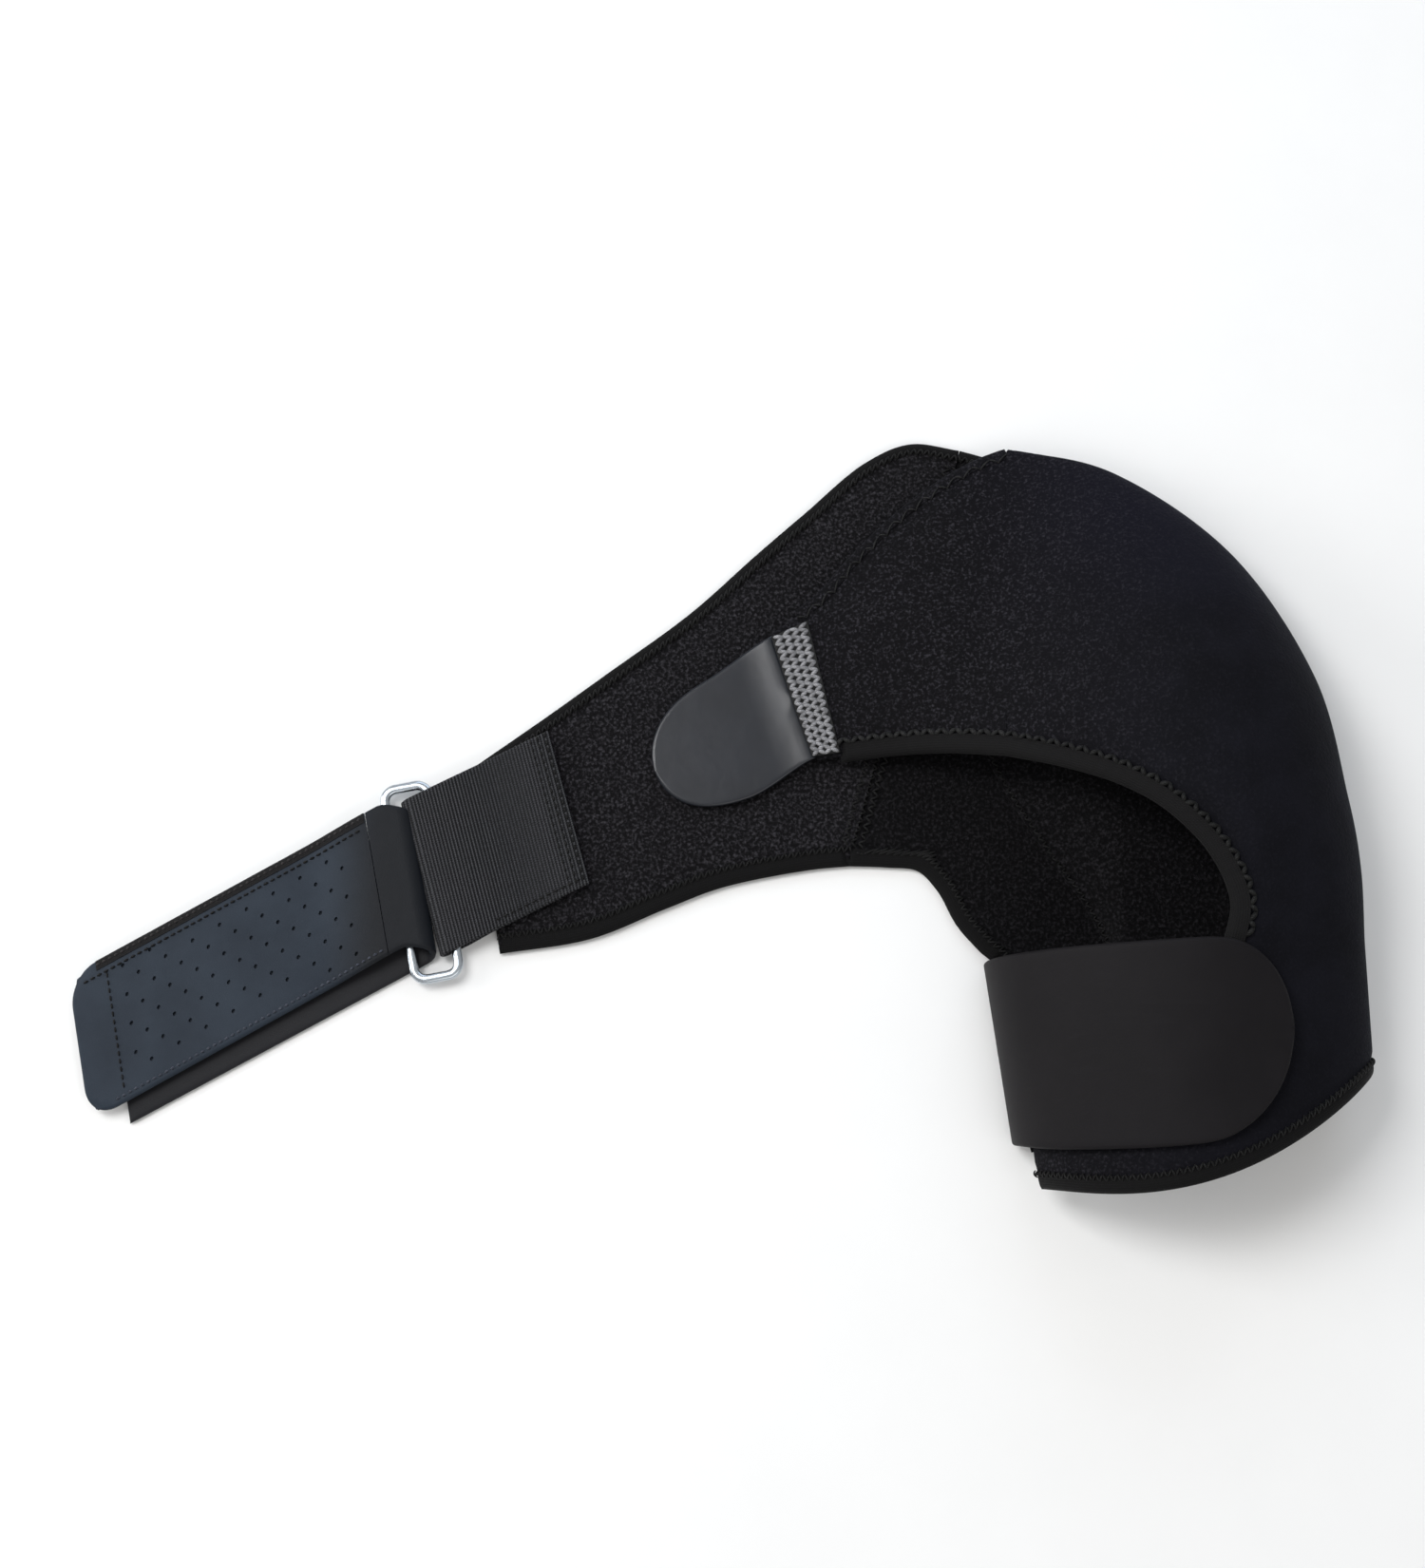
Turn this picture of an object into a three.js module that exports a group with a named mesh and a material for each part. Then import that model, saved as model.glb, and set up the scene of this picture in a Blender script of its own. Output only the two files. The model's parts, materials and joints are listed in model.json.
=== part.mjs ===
// A one-shoulder cold compression wrap, lying with its back half on a table. Millimetres, +Z up.
// The back half is flat. At the right it rolls up and over into the shoulder cap, whose free
// flap closes on the chest wing. A cuff strap closes the sleeve round the upper arm, and a
// chest strap runs through a wire ring that hangs in an elastic loop at the wing's end.
import * as THREE from 'three';
import { mergeVertices } from 'three/addons/utils/BufferGeometryUtils.js';

// Driving dimensions
const gap = 0.3; // clearance between pieces that touch
const foam = 4; // neoprene thickness
const lipWidth = 5.2; // pressed edge that a binding covers
const lipThickness = 1.4;
const lipSlope = 0.3; // run of the slope from the pressed edge up to the full foam
const bindingWrap = 3.9; // how far a binding reaches in over the panel
const bindingSeat = 1; // clearance between the pressed edge and the fold of its binding
const bindingNose = 2.3; // how far a binding stands out past the edge
const hookThickness = 1;
const tableGap = foam / 2; // height of the middle of a panel that lies on the table
const hingeGap = 1.1; // between the flap and the cap, and between the tab and the flap

const tapeThickness = 0.6;
const stripThickness = 0.8;
const tab = { length: 58, width: 49, thickness: 1.8, rise: 1.6, lean: 6, sag: 4 };
const cuff = { thickness: 2.5, bend: 5, lift: 4.9, slant: 0.138, rightX: 195 };

const wire = { radius: 1.8, width: 16.4, height: 71.6, corner: 4.5, tilt: 11 };
const ringCentre = new THREE.Vector3(-110.5, -19.5, 4.7);
const elastic = { thickness: 1.5, width: 59.4, angle: 26.6, slack: 5.5, top: 51, back: 41, rise: 2.6 };
const strap = { thickness: 2.5, width: 52, angle: 29.5, under: 116, tail: 130, fold: 8 };
const strapOffset = { tail: 5.2, under: -5.5 }; // how far each layer lies up the ring's bar from its middle

const pack = { thickness: 9, front: -68, back: 44, left: 146, frontRight: 200, backRight: 188 };
const liningThickness = 1.5;

// Small helpers
const rad = THREE.MathUtils.degToRad;
const leastSlant = rad(15); // lines that cross an edge flatter than this don't widen its lip further
const lerp = THREE.MathUtils.lerp;
const point = (x, y, z = tableGap) => new THREE.Vector3(x, y, z);
const colour = (hex, roughness, metalness = 0) =>
  new THREE.MeshStandardMaterial({ color: hex, roughness, metalness });

const materials = {
  loopFoam: () => colour(0x0c0b0b, 0.97),
  smoothFoam: () => colour(0x0d0e12, 0.9),
  tape: () => colour(0x121316, 0.85),
  thread: () => colour(0x6d6d70, 0.8),
  tabRubber: () => colour(0x34363a, 0.5),
  cuffRubber: () => colour(0x232226, 0.7),
  hooks: () => colour(0x151517, 0.9),
  webbing: () => colour(0x26282a, 0.85),
  chrome: () => colour(0xc4c6c8, 0.2, 1),
  perforated: () => colour(0x252b35, 0.75),
  film: () => colour(0x3a74a8, 0.3),
  lining: () => colour(0x101012, 0.9),
};

/** Smooth value at t (0 to 1) through a list of evenly spaced values. */
function along(values, t) {
  const last = values.length - 1;
  const place = THREE.MathUtils.clamp(t, 0, 1) * last;
  const i = Math.min(Math.floor(place), last - 1);
  const before = values[Math.max(i - 1, 0)];
  const after = values[Math.min(i + 2, last)];
  const slopeStart = (values[i + 1] - before) / (i > 0 ? 2 : 1);
  const slopeEnd = (after - values[i]) / (i + 2 <= last ? 2 : 1);
  const f = place - i;
  const curveStart = values[i] * (2 * f ** 3 - 3 * f ** 2 + 1) + slopeStart * (f ** 3 - 2 * f ** 2 + f);
  const curveEnd = values[i + 1] * (3 * f ** 2 - 2 * f ** 3) + slopeEnd * (f ** 3 - f ** 2);
  return curveStart + curveEnd;
}

/** Evenly paced curve through points, as a function of t. */
function through(...points) {
  const curve = new THREE.CatmullRomCurve3(points, false, 'centripetal');
  return (t) => curve.getPointAt(THREE.MathUtils.clamp(t, 0, 1));
}

/** Unit normal of a surface(u, v). */
function normalAt(surface, u, v) {
  const e = 1e-3;
  const du = surface(Math.min(u + e, 1), v).sub(surface(Math.max(u - e, 0), v));
  const dv = surface(u, Math.min(v + e, 1)).sub(surface(u, Math.max(v - e, 0)));
  return du.cross(dv).normalize();
}

/** Angle at which the two families of lines on a surface cross, at most a right angle. */
function crossingAngle(surface, u, v) {
  const e = 1e-3;
  const du = surface(Math.min(u + e, 1), v).sub(surface(Math.max(u - e, 0), v));
  const dv = surface(u, Math.min(v + e, 1)).sub(surface(u, Math.max(v - e, 0)));
  const angle = du.angleTo(dv);
  return Math.min(angle, Math.PI - angle);
}

/** The same surface moved along its upward normal. */
function raised(surface, height) {
  return (u, v) => {
    const normal = normalAt(surface, u, v);
    const up = normal.z < 0 ? -height : height;
    return surface(u, v).addScaledVector(normal, up);
  };
}

/** Closed mesh from points and triangles: welded, without flat triangles, faces out. */
function solid(name, points, triangles, material) {
  const raw = new THREE.BufferGeometry();
  raw.setAttribute('position', new THREE.Float32BufferAttribute(points.flatMap((p) => p.toArray()), 3));
  raw.setIndex(triangles.flat());
  const welded = mergeVertices(raw, 1e-4);
  const index = Array.from(welded.index.array);
  const kept = [];
  for (let i = 0; i < index.length; i += 3) {
    const [a, b, c] = index.slice(i, i + 3);
    if (a !== b && b !== c && c !== a) kept.push([a, b, c]);
  }
  const corner = (i) => new THREE.Vector3().fromBufferAttribute(welded.attributes.position, i);
  const volume = kept.reduce((sum, [a, b, c]) => sum + corner(a).dot(corner(b).cross(corner(c))), 0);
  welded.setIndex((volume < 0 ? kept.map(([a, b, c]) => [a, c, b]) : kept).flat());
  welded.computeVertexNormals();
  const mesh = new THREE.Mesh(welded, material);
  mesh.name = name;
  return mesh;
}

/** Stops from one edge of a sheet to the other; a pressed lip adds a step down at that edge. */
function stops(count, lipStart, lipEnd) {
  const list = [];
  if (lipStart) list.push({ from: 0, side: 0, thin: true }, { from: lipWidth, side: 0, thin: true });
  const start = lipStart ? lipWidth + lipSlope : 0;
  const end = lipEnd ? lipWidth + lipSlope : 0;
  for (let i = 0; i <= count; i += 1) list.push({ share: i / count, start, end });
  if (lipEnd) list.push({ from: lipWidth, side: 1, thin: true }, { from: 0, side: 1, thin: true });
  return list;
}

/** Where a stop lies, 0 to 1, on a line of this length. */
function stopAt(stop, length) {
  if (stop.side === 0) return stop.from / length;
  if (stop.side === 1) return 1 - stop.from / length;
  return lerp(stop.start / length, 1 - stop.end / length, stop.share);
}

/** Closed sheet of one thickness about surface(u, v), with pressed lips on the named edges. */
function sheet(name, surface, material, { u: countU, v: countV, thickness = foam, lips = [] }) {
  const us = stops(countU, lips.includes('u0'), lips.includes('u1'));
  const vs = stops(countV, lips.includes('v0'), lips.includes('v1'));
  const lengthSteps = 12;
  const samples = Array.from({ length: lengthSteps }, (_, i) => i / lengthSteps);
  const lengthOf = (line) =>
    samples.reduce((sum, t) => sum + line(t).distanceTo(line(t + 1 / lengthSteps)), 0);
  const nominal = (stop) => stop.share ?? stop.side;
  const slant = (u, v) => Math.sin(Math.max(leastSlant, crossingAngle(surface, u, v)));
  const lengthsU = vs.map((stop) => lengthOf((t) => surface(t, nominal(stop))) * slant(1, nominal(stop)));
  const lengthsV = us.map((stop) => {
    const u = nominal(stop);
    return lengthOf((t) => surface(u, t)) * Math.min(slant(u, 0), slant(u, 1));
  });
  const upper = [];
  const lower = [];
  us.forEach((stopU, i) => {
    vs.forEach((stopV, j) => {
      const u = stopAt(stopU, lengthsU[j]);
      const v = stopAt(stopV, lengthsV[i]);
      const half = (stopU.thin || stopV.thin ? lipThickness : thickness) / 2;
      const offset = normalAt(surface, u, v).multiplyScalar(half);
      upper.push(surface(u, v).add(offset));
      lower.push(surface(u, v).sub(offset));
    });
  });
  const rows = us.length;
  const columns = vs.length;
  const total = rows * columns;
  const at = (i, j) => i * columns + j;
  const triangles = [];
  const quad = (a, b, c, d) => triangles.push([a, b, c], [a, c, d]);
  for (let i = 0; i < rows - 1; i += 1) {
    for (let j = 0; j < columns - 1; j += 1) {
      quad(at(i, j), at(i + 1, j), at(i + 1, j + 1), at(i, j + 1));
      quad(total + at(i, j), total + at(i, j + 1), total + at(i + 1, j + 1), total + at(i + 1, j));
    }
    quad(at(i, 0), total + at(i, 0), total + at(i + 1, 0), at(i + 1, 0));
    const end = columns - 1;
    quad(at(i, end), at(i + 1, end), total + at(i + 1, end), total + at(i, end));
  }
  for (let j = 0; j < columns - 1; j += 1) {
    quad(at(0, j), at(0, j + 1), total + at(0, j + 1), total + at(0, j));
    quad(at(rows - 1, j), total + at(rows - 1, j), total + at(rows - 1, j + 1), at(rows - 1, j + 1));
  }
  return solid(name, upper.concat(lower), triangles, material);
}

/** Closed bar from rings of points; the ends are capped unless the rings close on themselves. */
function bar(name, rings, material, { closed = false, cap = [] } = {}) {
  const size = rings[0].length;
  const triangles = [];
  const count = closed ? rings.length : rings.length - 1;
  for (let i = 0; i < count; i += 1) {
    const next = (i + 1) % rings.length;
    for (let j = 0; j < size; j += 1) {
      const k = (j + 1) % size;
      const start = i * size;
      const end = next * size;
      triangles.push([start + j, start + k, end + k], [start + j, end + k, end + j]);
    }
  }
  const last = (rings.length - 1) * size;
  for (const [a, b, c] of cap) triangles.push([a, c, b], [last + a, last + b, last + c]);
  return solid(name, rings.flat(), triangles, material);
}

/** Cap triangles of a flat outline, wound like the outline. */
function capOf(outline) {
  const faces = THREE.ShapeUtils.triangulateShape(outline.map(([x, y]) => new THREE.Vector2(x, y)), []);
  const area = THREE.ShapeUtils.area(outline.map(([x, y]) => new THREE.Vector2(x, y)));
  return faces.map(([a, b, c]) => (area > 0 ? [a, b, c] : [a, c, b]));
}

const edges = {
  v0: { at: (t) => [t, 0], inward: [0, 1] },
  v1: { at: (t) => [t, 1], inward: [0, -1] },
  u1: { at: (t) => [1, t], inward: [-1, 0] },
};

/** Tape folded over the pressed lip of a sheet, between two of the rows that divide the edge. */
function binding(name, surface, edgeName, { rows, from, to, thickness = foam }) {
  const edge = edges[edgeName];
  const half = thickness / 2;
  const inner = lipThickness / 2 + gap;
  const outline = [
    [-bindingWrap, half],
    [bindingSeat, half],
    [bindingNose * 0.85, half * 0.7],
    [bindingNose, 0],
    [bindingNose * 0.85, -half * 0.7],
    [bindingSeat, -half],
    [-bindingWrap, -half],
    [-bindingWrap, -inner],
    [bindingSeat, -inner],
    [bindingSeat, inner],
    [-bindingWrap, inner],
  ];
  const rings = [];
  for (let i = from; i <= to; i += 1) {
    const t = i / rows;
    const [u, v] = edge.at(t);
    const place = surface(u, v);
    const normal = normalAt(surface, u, v);
    const run = surface(...edge.at(Math.min(t + 1e-3, 1))).sub(surface(...edge.at(Math.max(t - 1e-3, 0))));
    const outward = run.cross(normal).normalize();
    const inside = surface(u + edge.inward[0] * 1e-2, v + edge.inward[1] * 1e-2).sub(place);
    if (outward.dot(inside) > 0) outward.negate();
    rings.push(outline.map(([o, n]) => place.clone().addScaledVector(outward, o).addScaledVector(normal, n)));
  }
  return bar(name, rings, materials.tape(), { cap: capOf(outline) });
}

/** Outline of a band of one thickness about a line in its side view. */
function bandOutline(line, thickness) {
  const half = thickness / 2;
  const sides = line.map(([x, z], i) => {
    const [xa, za] = line[Math.max(i - 1, 0)];
    const [xb, zb] = line[Math.min(i + 1, line.length - 1)];
    const run = Math.hypot(xb - xa, zb - za);
    const offX = ((zb - za) / run) * half;
    const offZ = ((xb - xa) / run) * half;
    return { left: [x - offX, z + offZ], right: [x + offX, z - offZ] };
  });
  return sides.map((s) => s.left).concat(sides.map((s) => s.right).reverse());
}

const planDirection = (degrees) => new THREE.Vector3(Math.cos(rad(degrees)), Math.sin(rad(degrees)), 0);
const ringAcross = planDirection(wire.tilt);
const ringUp = planDirection(90 + wire.tilt);

/** Band of webbing: a side-view line in the direction of its run, drawn out along the ring's bar. */
function band(name, line, thickness, { origin, angle, halfWidth, material }) {
  const outline = bandOutline(line, thickness);
  const run = planDirection(angle);
  const ring = (w) =>
    outline.map(([a, z]) => origin.clone().addScaledVector(run, a).addScaledVector(ringUp, w).setZ(z));
  return bar(name, [ring(-halfWidth), ring(halfWidth)], material, { cap: capOf(outline) });
}

/** Half-turn of a side-view line round a bar, from one angle to another. */
function turn(centreX, centreZ, radius, fromDegrees, toDegrees, steps = 8) {
  return Array.from({ length: steps + 1 }, (_, i) => {
    const angle = rad(lerp(fromDegrees, toDegrees, i / steps));
    return [centreX + radius * Math.cos(angle), centreZ + radius * Math.sin(angle)];
  });
}

// Surfaces of the panels, each through the middle of its foam

/** The sleeve's plan rows: where its upper edge and its hem lie at a distance across it. */
const sleeveMiddle = 168;
const sleeveHalf = 60;
const acrossSleeve = (x) => (x - sleeveMiddle) / sleeveHalf;
const sleeveTopY = (x) => -52 + 6 * acrossSleeve(x);
const sleeveHemY = (x) => -128 + 19 * acrossSleeve(x) + 19 * acrossSleeve(x) ** 2;
const rollIn = 15; // how far the foot of the fold lies inside its outline
const armholeX = 174;

/** Stations of the shoulder cap: plan point on the fold, plan point on the armhole, heights. */
const capStations = [
  { outer: [107, 144], inner: [102, 24], fold: 6.6, crown: 31, round: 0, foot: 4.6, swell: 0 },
  { outer: [145, 131], inner: [121, 18], fold: 16, crown: 40, round: 0.6, foot: 10, swell: 5 },
  { outer: [185, 98], inner: [140, 10], fold: 23, crown: 48, round: 1, foot: 13.5, swell: 8 },
  { outer: [212, 51], inner: [156, -1], fold: 28, crown: 54, round: 1, foot: rollIn, swell: 9 },
  { outer: [221.5, 6], inner: [170, -17], fold: 30, crown: 57, round: 1, foot: rollIn, swell: 6 },
  { outer: [225, -20], inner: [177, -35], fold: 29, crown: 58, round: 1, foot: rollIn, swell: 2 },
  {
    outer: [225.3, sleeveTopY(225.3) + gap],
    inner: [armholeX, sleeveTopY(armholeX) + gap],
    fold: 28,
    crown: 57,
    round: 1,
    foot: rollIn,
    swell: 0,
  },
];
const capValue = (pick, u) => along(capStations.map(pick), u);
const rollShare = 0.2; // share of a cap's width that is the roll under its fold

function capSurface(u, v) {
  const outer = point(capValue((s) => s.outer[0], u), capValue((s) => s.outer[1], u));
  const inner = point(capValue((s) => s.inner[0], u), capValue((s) => s.inner[1], u));
  const fold = capValue((s) => s.fold, u);
  if (v < rollShare) {
    const turned = (v / rollShare) * (Math.PI / 2);
    const inset = capValue((s) => s.foot, u) * (1 - Math.sin(turned));
    const place = outer.clone().addScaledVector(inner.clone().sub(outer).normalize(), inset);
    return place.setZ(fold - (fold - tableGap) * Math.cos(turned));
  }
  const turned = ((v - rollShare) / (1 - rollShare)) * (Math.PI / 2);
  const share = 1 - Math.cos(turned);
  const rise = lerp(share, Math.sin(turned), capValue((s) => s.round, u));
  const swell = capValue((s) => s.swell, u) * 4 * share * (1 - share);
  return outer.lerp(inner, share).setZ(fold + (capValue((s) => s.crown, u) - fold) * rise + swell);
}

/** Sleeve: across it, from the foot of the fold at the right, over the arm, to the left end. */
const sleeve = {
  right: [225.3, 227.3],
  crownX: [armholeX, 170],
  left: [103, 111],
  fold: [28, 24],
  crown: [57, 52],
  leftZ: 4,
  leftEnd: 168,
};

/** Point of the arch over the arm: a quarter of an ellipse on each side of the crown. */
function archAt(shape, u, degrees, lift = 0) {
  const crownX = lerp(...shape.crownX, u);
  const crownZ = lerp(...shape.crown, u) + lift;
  const onRight = degrees < 90;
  const side = onRight ? lerp(...shape.right, u) - crownX : crownX - lerp(...shape.left, u);
  const base = onRight ? lerp(...shape.fold, u) + lift : shape.leftZ + lift;
  return { x: crownX + side * Math.cos(rad(degrees)), z: base + (crownZ - base) * Math.sin(rad(degrees)) };
}

const sleeveRoll = 0.13; // share of the sleeve's width that is the roll under its fold

function sleeveSurface(u, v) {
  if (v < sleeveRoll) {
    const turned = (v / sleeveRoll) * (Math.PI / 2);
    const right = lerp(...sleeve.right, u);
    const fold = lerp(...sleeve.fold, u);
    const x = right - rollIn * (1 - Math.sin(turned));
    const y = lerp(sleeveTopY(x), sleeveHemY(right), u);
    return point(x, y, fold - (fold - tableGap) * Math.cos(turned));
  }
  const degrees = ((v - sleeveRoll) / (1 - sleeveRoll)) * sleeve.leftEnd;
  const { x, z } = archAt(sleeve, u, degrees);
  return point(x, lerp(sleeveTopY(x), sleeveHemY(x), u), z);
}

/** Wing: from its narrow end under the elastic to the seam with the back panel. */
const seamTop = point(89, 144.5);
const seamFoot = point(46, -11);
const wingTop = through(point(-94, 20), point(-66, 40), point(-43, 57), point(-11, 81), point(14, 104),
  point(32, 120), point(55, 140), point(71, 147), seamTop);
const wingBottom = through(point(-82, -43.5), point(-49, -38), point(-22, -27), point(-1, -19),
  point(31, -12.5), seamFoot);
const wingSurface = (u, v) => wingBottom(u).lerp(wingTop(u), v);
const wingShare = 0.998; // the panel stops just short of its seam

/** Back panel: from the wing's seam and the armpit edge to the foot of the fold. */
const cuffTopY = -49.5;
const cuffBottomY = -115.5;
const cuffEdgeX = (y) => 100.8 + cuff.slant * (cuffTopY - y);
const armpitEdge = through(seamFoot, point(60, -11.5), point(72, -13), point(80, -21), point(87, -34),
  point(94.2, -42.5), point(cuffEdgeX(cuffTopY), cuffTopY), point(cuffEdgeX(-85), -85),
  point(cuffEdgeX(cuffBottomY), cuffBottomY));
const seamShare = 0.36;

function panelLeft(u) {
  if (u < seamShare) return seamTop.clone().lerp(seamFoot, u / seamShare);
  return armpitEdge((u - seamShare) / (1 - seamShare));
}

const capShare = 0.86;
const footClearance = 0.5;

function panelRight(u) {
  const onCap = u < capShare;
  const surface = onCap ? capSurface : sleeveSurface;
  const t = onCap ? u / capShare : (u - capShare) / (1 - capShare);
  const foot = surface(t, 0);
  const inward = foot.clone().sub(surface(t, 0.02)).setZ(0).normalize();
  return foot.addScaledVector(inward, footClearance);
}

const peakCut = 0.05; // the corner at the seam's top is cut off square
const backSurface = (share, v) => {
  const u = lerp(peakCut, 1, share);
  const left = panelLeft(u);
  const inset = gap / left.distanceTo(panelRight(u));
  return left.lerp(panelRight(u), lerp(inset, 1, v));
};

/** Front flap: from the tab's root to the cap's first station. */
const flapBottom = through(point(34.5, 25.5, 7.3), point(62, 28, 13), point(82, 27, 22),
  point(102 - hingeGap, 24, 31));
const flapTop = through(point(18, 73.5, 7.3), point(37, 88, 7.6), point(49, 102, 7.8), point(71, 123, 7.6),
  point(93, 138, 7), point(107 - hingeGap, 144, 6.6));
const flapSwell = 5;
const flapSurface = (u, v) => {
  const place = flapBottom(u).lerp(flapTop(u), v);
  return place.setZ(place.z + flapSwell * Math.sin(Math.PI * u) * Math.sin(Math.PI * v));
};

/** Front tab: a tongue with a round end, from its root at the flap's end. */
const tabRoot = flapBottom(0).lerp(flapTop(0), 0.5);
const tabAcross = flapBottom(0).sub(flapTop(0)).normalize();
const tabRun = new THREE.Vector3(tabAcross.y, -tabAcross.x, 0)
  .applyAxisAngle(new THREE.Vector3(0, 0, 1), rad(tab.lean));

const endTurn = rad(86); // how far round a tongue's end goes, so that it closes on a short flat
const tabEndShare = 0.965; // the same for the front tab, whose sides bow all the way

/** Distance along the tab, its half-width there and how far its middle has sagged to one side. */
function tabOutline(v, inset) {
  const share = 1 - (1 - tabEndShare * v) ** 2;
  const length = tab.length - inset;
  const halfWidth = (tab.width / 2 - inset) * Math.sqrt(1 - share ** 4);
  return [length * share, halfWidth, tab.sag * THREE.MathUtils.smoothstep(length * share, 0, length / 2)];
}

const tabBendLength = 16; // the tab bends down off the flap within this length of its root

function tabSurface(height) {
  return (u, v) => {
    const [run, halfWidth, sag] = tabOutline(v, 0);
    const drop = tab.rise * (1 - (1 - Math.min(run / tabBendLength, 1)) ** 2);
    const place = tabRoot.clone().addScaledVector(tabRun, run + hingeGap);
    return place.addScaledVector(tabAcross, sag + halfWidth * (1 - 2 * u)).setZ(height - drop);
  };
}

/** Hook patch under the tab: smaller all round, and bowed down a little at its middle. */
function tabHookSurface(height) {
  const inset = 4;
  const rootInset = 9;
  const bow = 0.2;
  return (u, v) => {
    const [run, halfWidth, sag] = tabOutline(v, inset);
    const place = tabRoot.clone().addScaledVector(tabRun, run + hingeGap + rootInset * (1 - v));
    const drop = tab.rise + bow * Math.sin(Math.PI * u) * Math.sin(Math.PI * v);
    return place.addScaledVector(tabAcross, sag + halfWidth * (1 - 2 * u)).setZ(height - drop);
  };
}

/** Cuff strap: from the fold beside the back panel's edge, over the sleeve, to its round end. */
const cuffTop = [cuffTopY, -50, -49, -46];
const cuffBottom = [cuffBottomY, -119.5, -119.5, -113];

const cuffStraightShare = 0.72;
const cuffHooksStart = 0.64; // the hooks begin this far along the strap

function cuffSurface(lift, inset) {
  return (u, share) => {
    const v = inset ? lerp(cuffHooksStart, 1, share) : share;
    const turned = Math.max(0, (v - cuffStraightShare) / (1 - cuffStraightShare)) * endTurn;
    const narrowing = Math.cos(turned);
    const run = Math.min(v, cuffStraightShare) + (1 - cuffStraightShare) * Math.sin(turned);
    const middle = (along(cuffTop, run) + along(cuffBottom, run)) / 2;
    const half = (along(cuffTop, run) - along(cuffBottom, run)) / 2 - inset;
    const y = middle + half * narrowing * (1 - 2 * u);
    const down = (sleeveTopY(sleeveMiddle) - y) / (sleeveTopY(sleeveMiddle) - sleeveHemY(sleeveMiddle));
    const crownX = lerp(...sleeve.crownX, down);
    const reach = (cuff.rightX - inset - crownX) / (lerp(...sleeve.right, down) - crownX);
    const endAngle = THREE.MathUtils.radToDeg(Math.acos(reach));
    const leftX = cuffEdgeX(y) - cuff.bend - 0.5;
    const shape = { ...sleeve, left: [leftX, leftX], leftZ: tableGap + cuff.bend + gap - lift };
    const { x, z } = archAt(shape, down, lerp(180, endAngle, run), lift);
    return point(x, y, z);
  };
}

// Panels and their bindings

function panels() {
  return [
    sheet('wing_panel', (u, v) => wingSurface(u * wingShare, v), materials.loopFoam(),
      { u: 22, v: 6, lips: ['v0', 'v1'] }),
    sheet('back_panel', backSurface, materials.loopFoam(), { u: 24, v: 8, lips: ['v0', 'u1'] }),
    sheet('shoulder_cap_panel', capSurface, materials.smoothFoam(), { u: 24, v: 16, lips: ['v1'] }),
    sheet('upper_arm_panel', sleeveSurface, materials.smoothFoam(), { u: 8, v: 26, lips: ['u1'] }),
    sheet('front_flap_panel', flapSurface, materials.loopFoam(), { u: 14, v: 8, lips: ['v0', 'v1'] }),
  ];
}

const armholeRoll = 5.2; // the binding round the armhole is thicker than the rest

function bindings() {
  return [
    binding('wing_top_binding', wingSurface, 'v1', { rows: 44, from: 1, to: 43 }),
    binding('wing_bottom_binding', wingSurface, 'v0', { rows: 22, from: 1, to: 21 }),
    binding('armpit_binding', backSurface, 'v0', { rows: 48, from: 20, to: 32 }),
    binding('armhole_binding', capSurface, 'v1', { rows: 24, from: 0.4, to: 22, thickness: armholeRoll }),
    binding('flap_lower_binding', flapSurface, 'v0', { rows: 14, from: 2, to: 13.8, thickness: armholeRoll }),
    binding('flap_upper_binding', flapSurface, 'v1', { rows: 14, from: 2, to: 13.5 }),
    binding('front_hem_binding', sleeveSurface, 'u1', { rows: 26, from: 1, to: 25 }),
    binding('back_hem_binding', backSurface, 'u1', { rows: 10, from: 1, to: 9 }),
  ];
}

/** Flat tape over the seam between the wing and the back panel. */
function wingSeamTape() {
  const halfWidth = 3.5;
  const run = seamFoot.clone().sub(seamTop).normalize();
  const across = new THREE.Vector3(-run.y, run.x, 0).multiplyScalar(halfWidth);
  const height = foam + gap + tapeThickness / 2;
  const from = seamTop.clone().lerp(seamFoot, 0.06).setZ(height);
  const to = seamTop.clone().lerp(seamFoot, 0.94).setZ(height);
  const surface = (u, v) => from.clone().lerp(to, u).addScaledVector(across, 2 * v - 1);
  return sheet('wing_seam_tape', surface, materials.thread(), { u: 4, v: 1, thickness: tapeThickness });
}

// Front tab, its stitched strip on the flap and its hooks

function frontTab() {
  const onFlap = (u, v) => flapSurface(lerp(0.015, 0.135, u), lerp(0.03, 0.97, v));
  const strip = raised(onFlap, foam / 2 + gap + stripThickness / 2);
  const tabHeight = tabRoot.z + foam / 2 - tab.thickness / 2;
  const hookHeight = tabHeight - tab.thickness / 2 - gap - hookThickness / 2;
  return [
    sheet('front_tab_strip', strip, materials.thread(), { u: 2, v: 8, thickness: stripThickness }),
    sheet('front_tab', tabSurface(tabHeight), materials.tabRubber(),
      { u: 8, v: 16, thickness: tab.thickness }),
    sheet('front_tab_hooks', tabHookSurface(hookHeight), materials.hooks(),
      { u: 6, v: 12, thickness: hookThickness }),
  ];
}

// Cuff strap, its root along the sleeve's edge and its hooks

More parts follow.
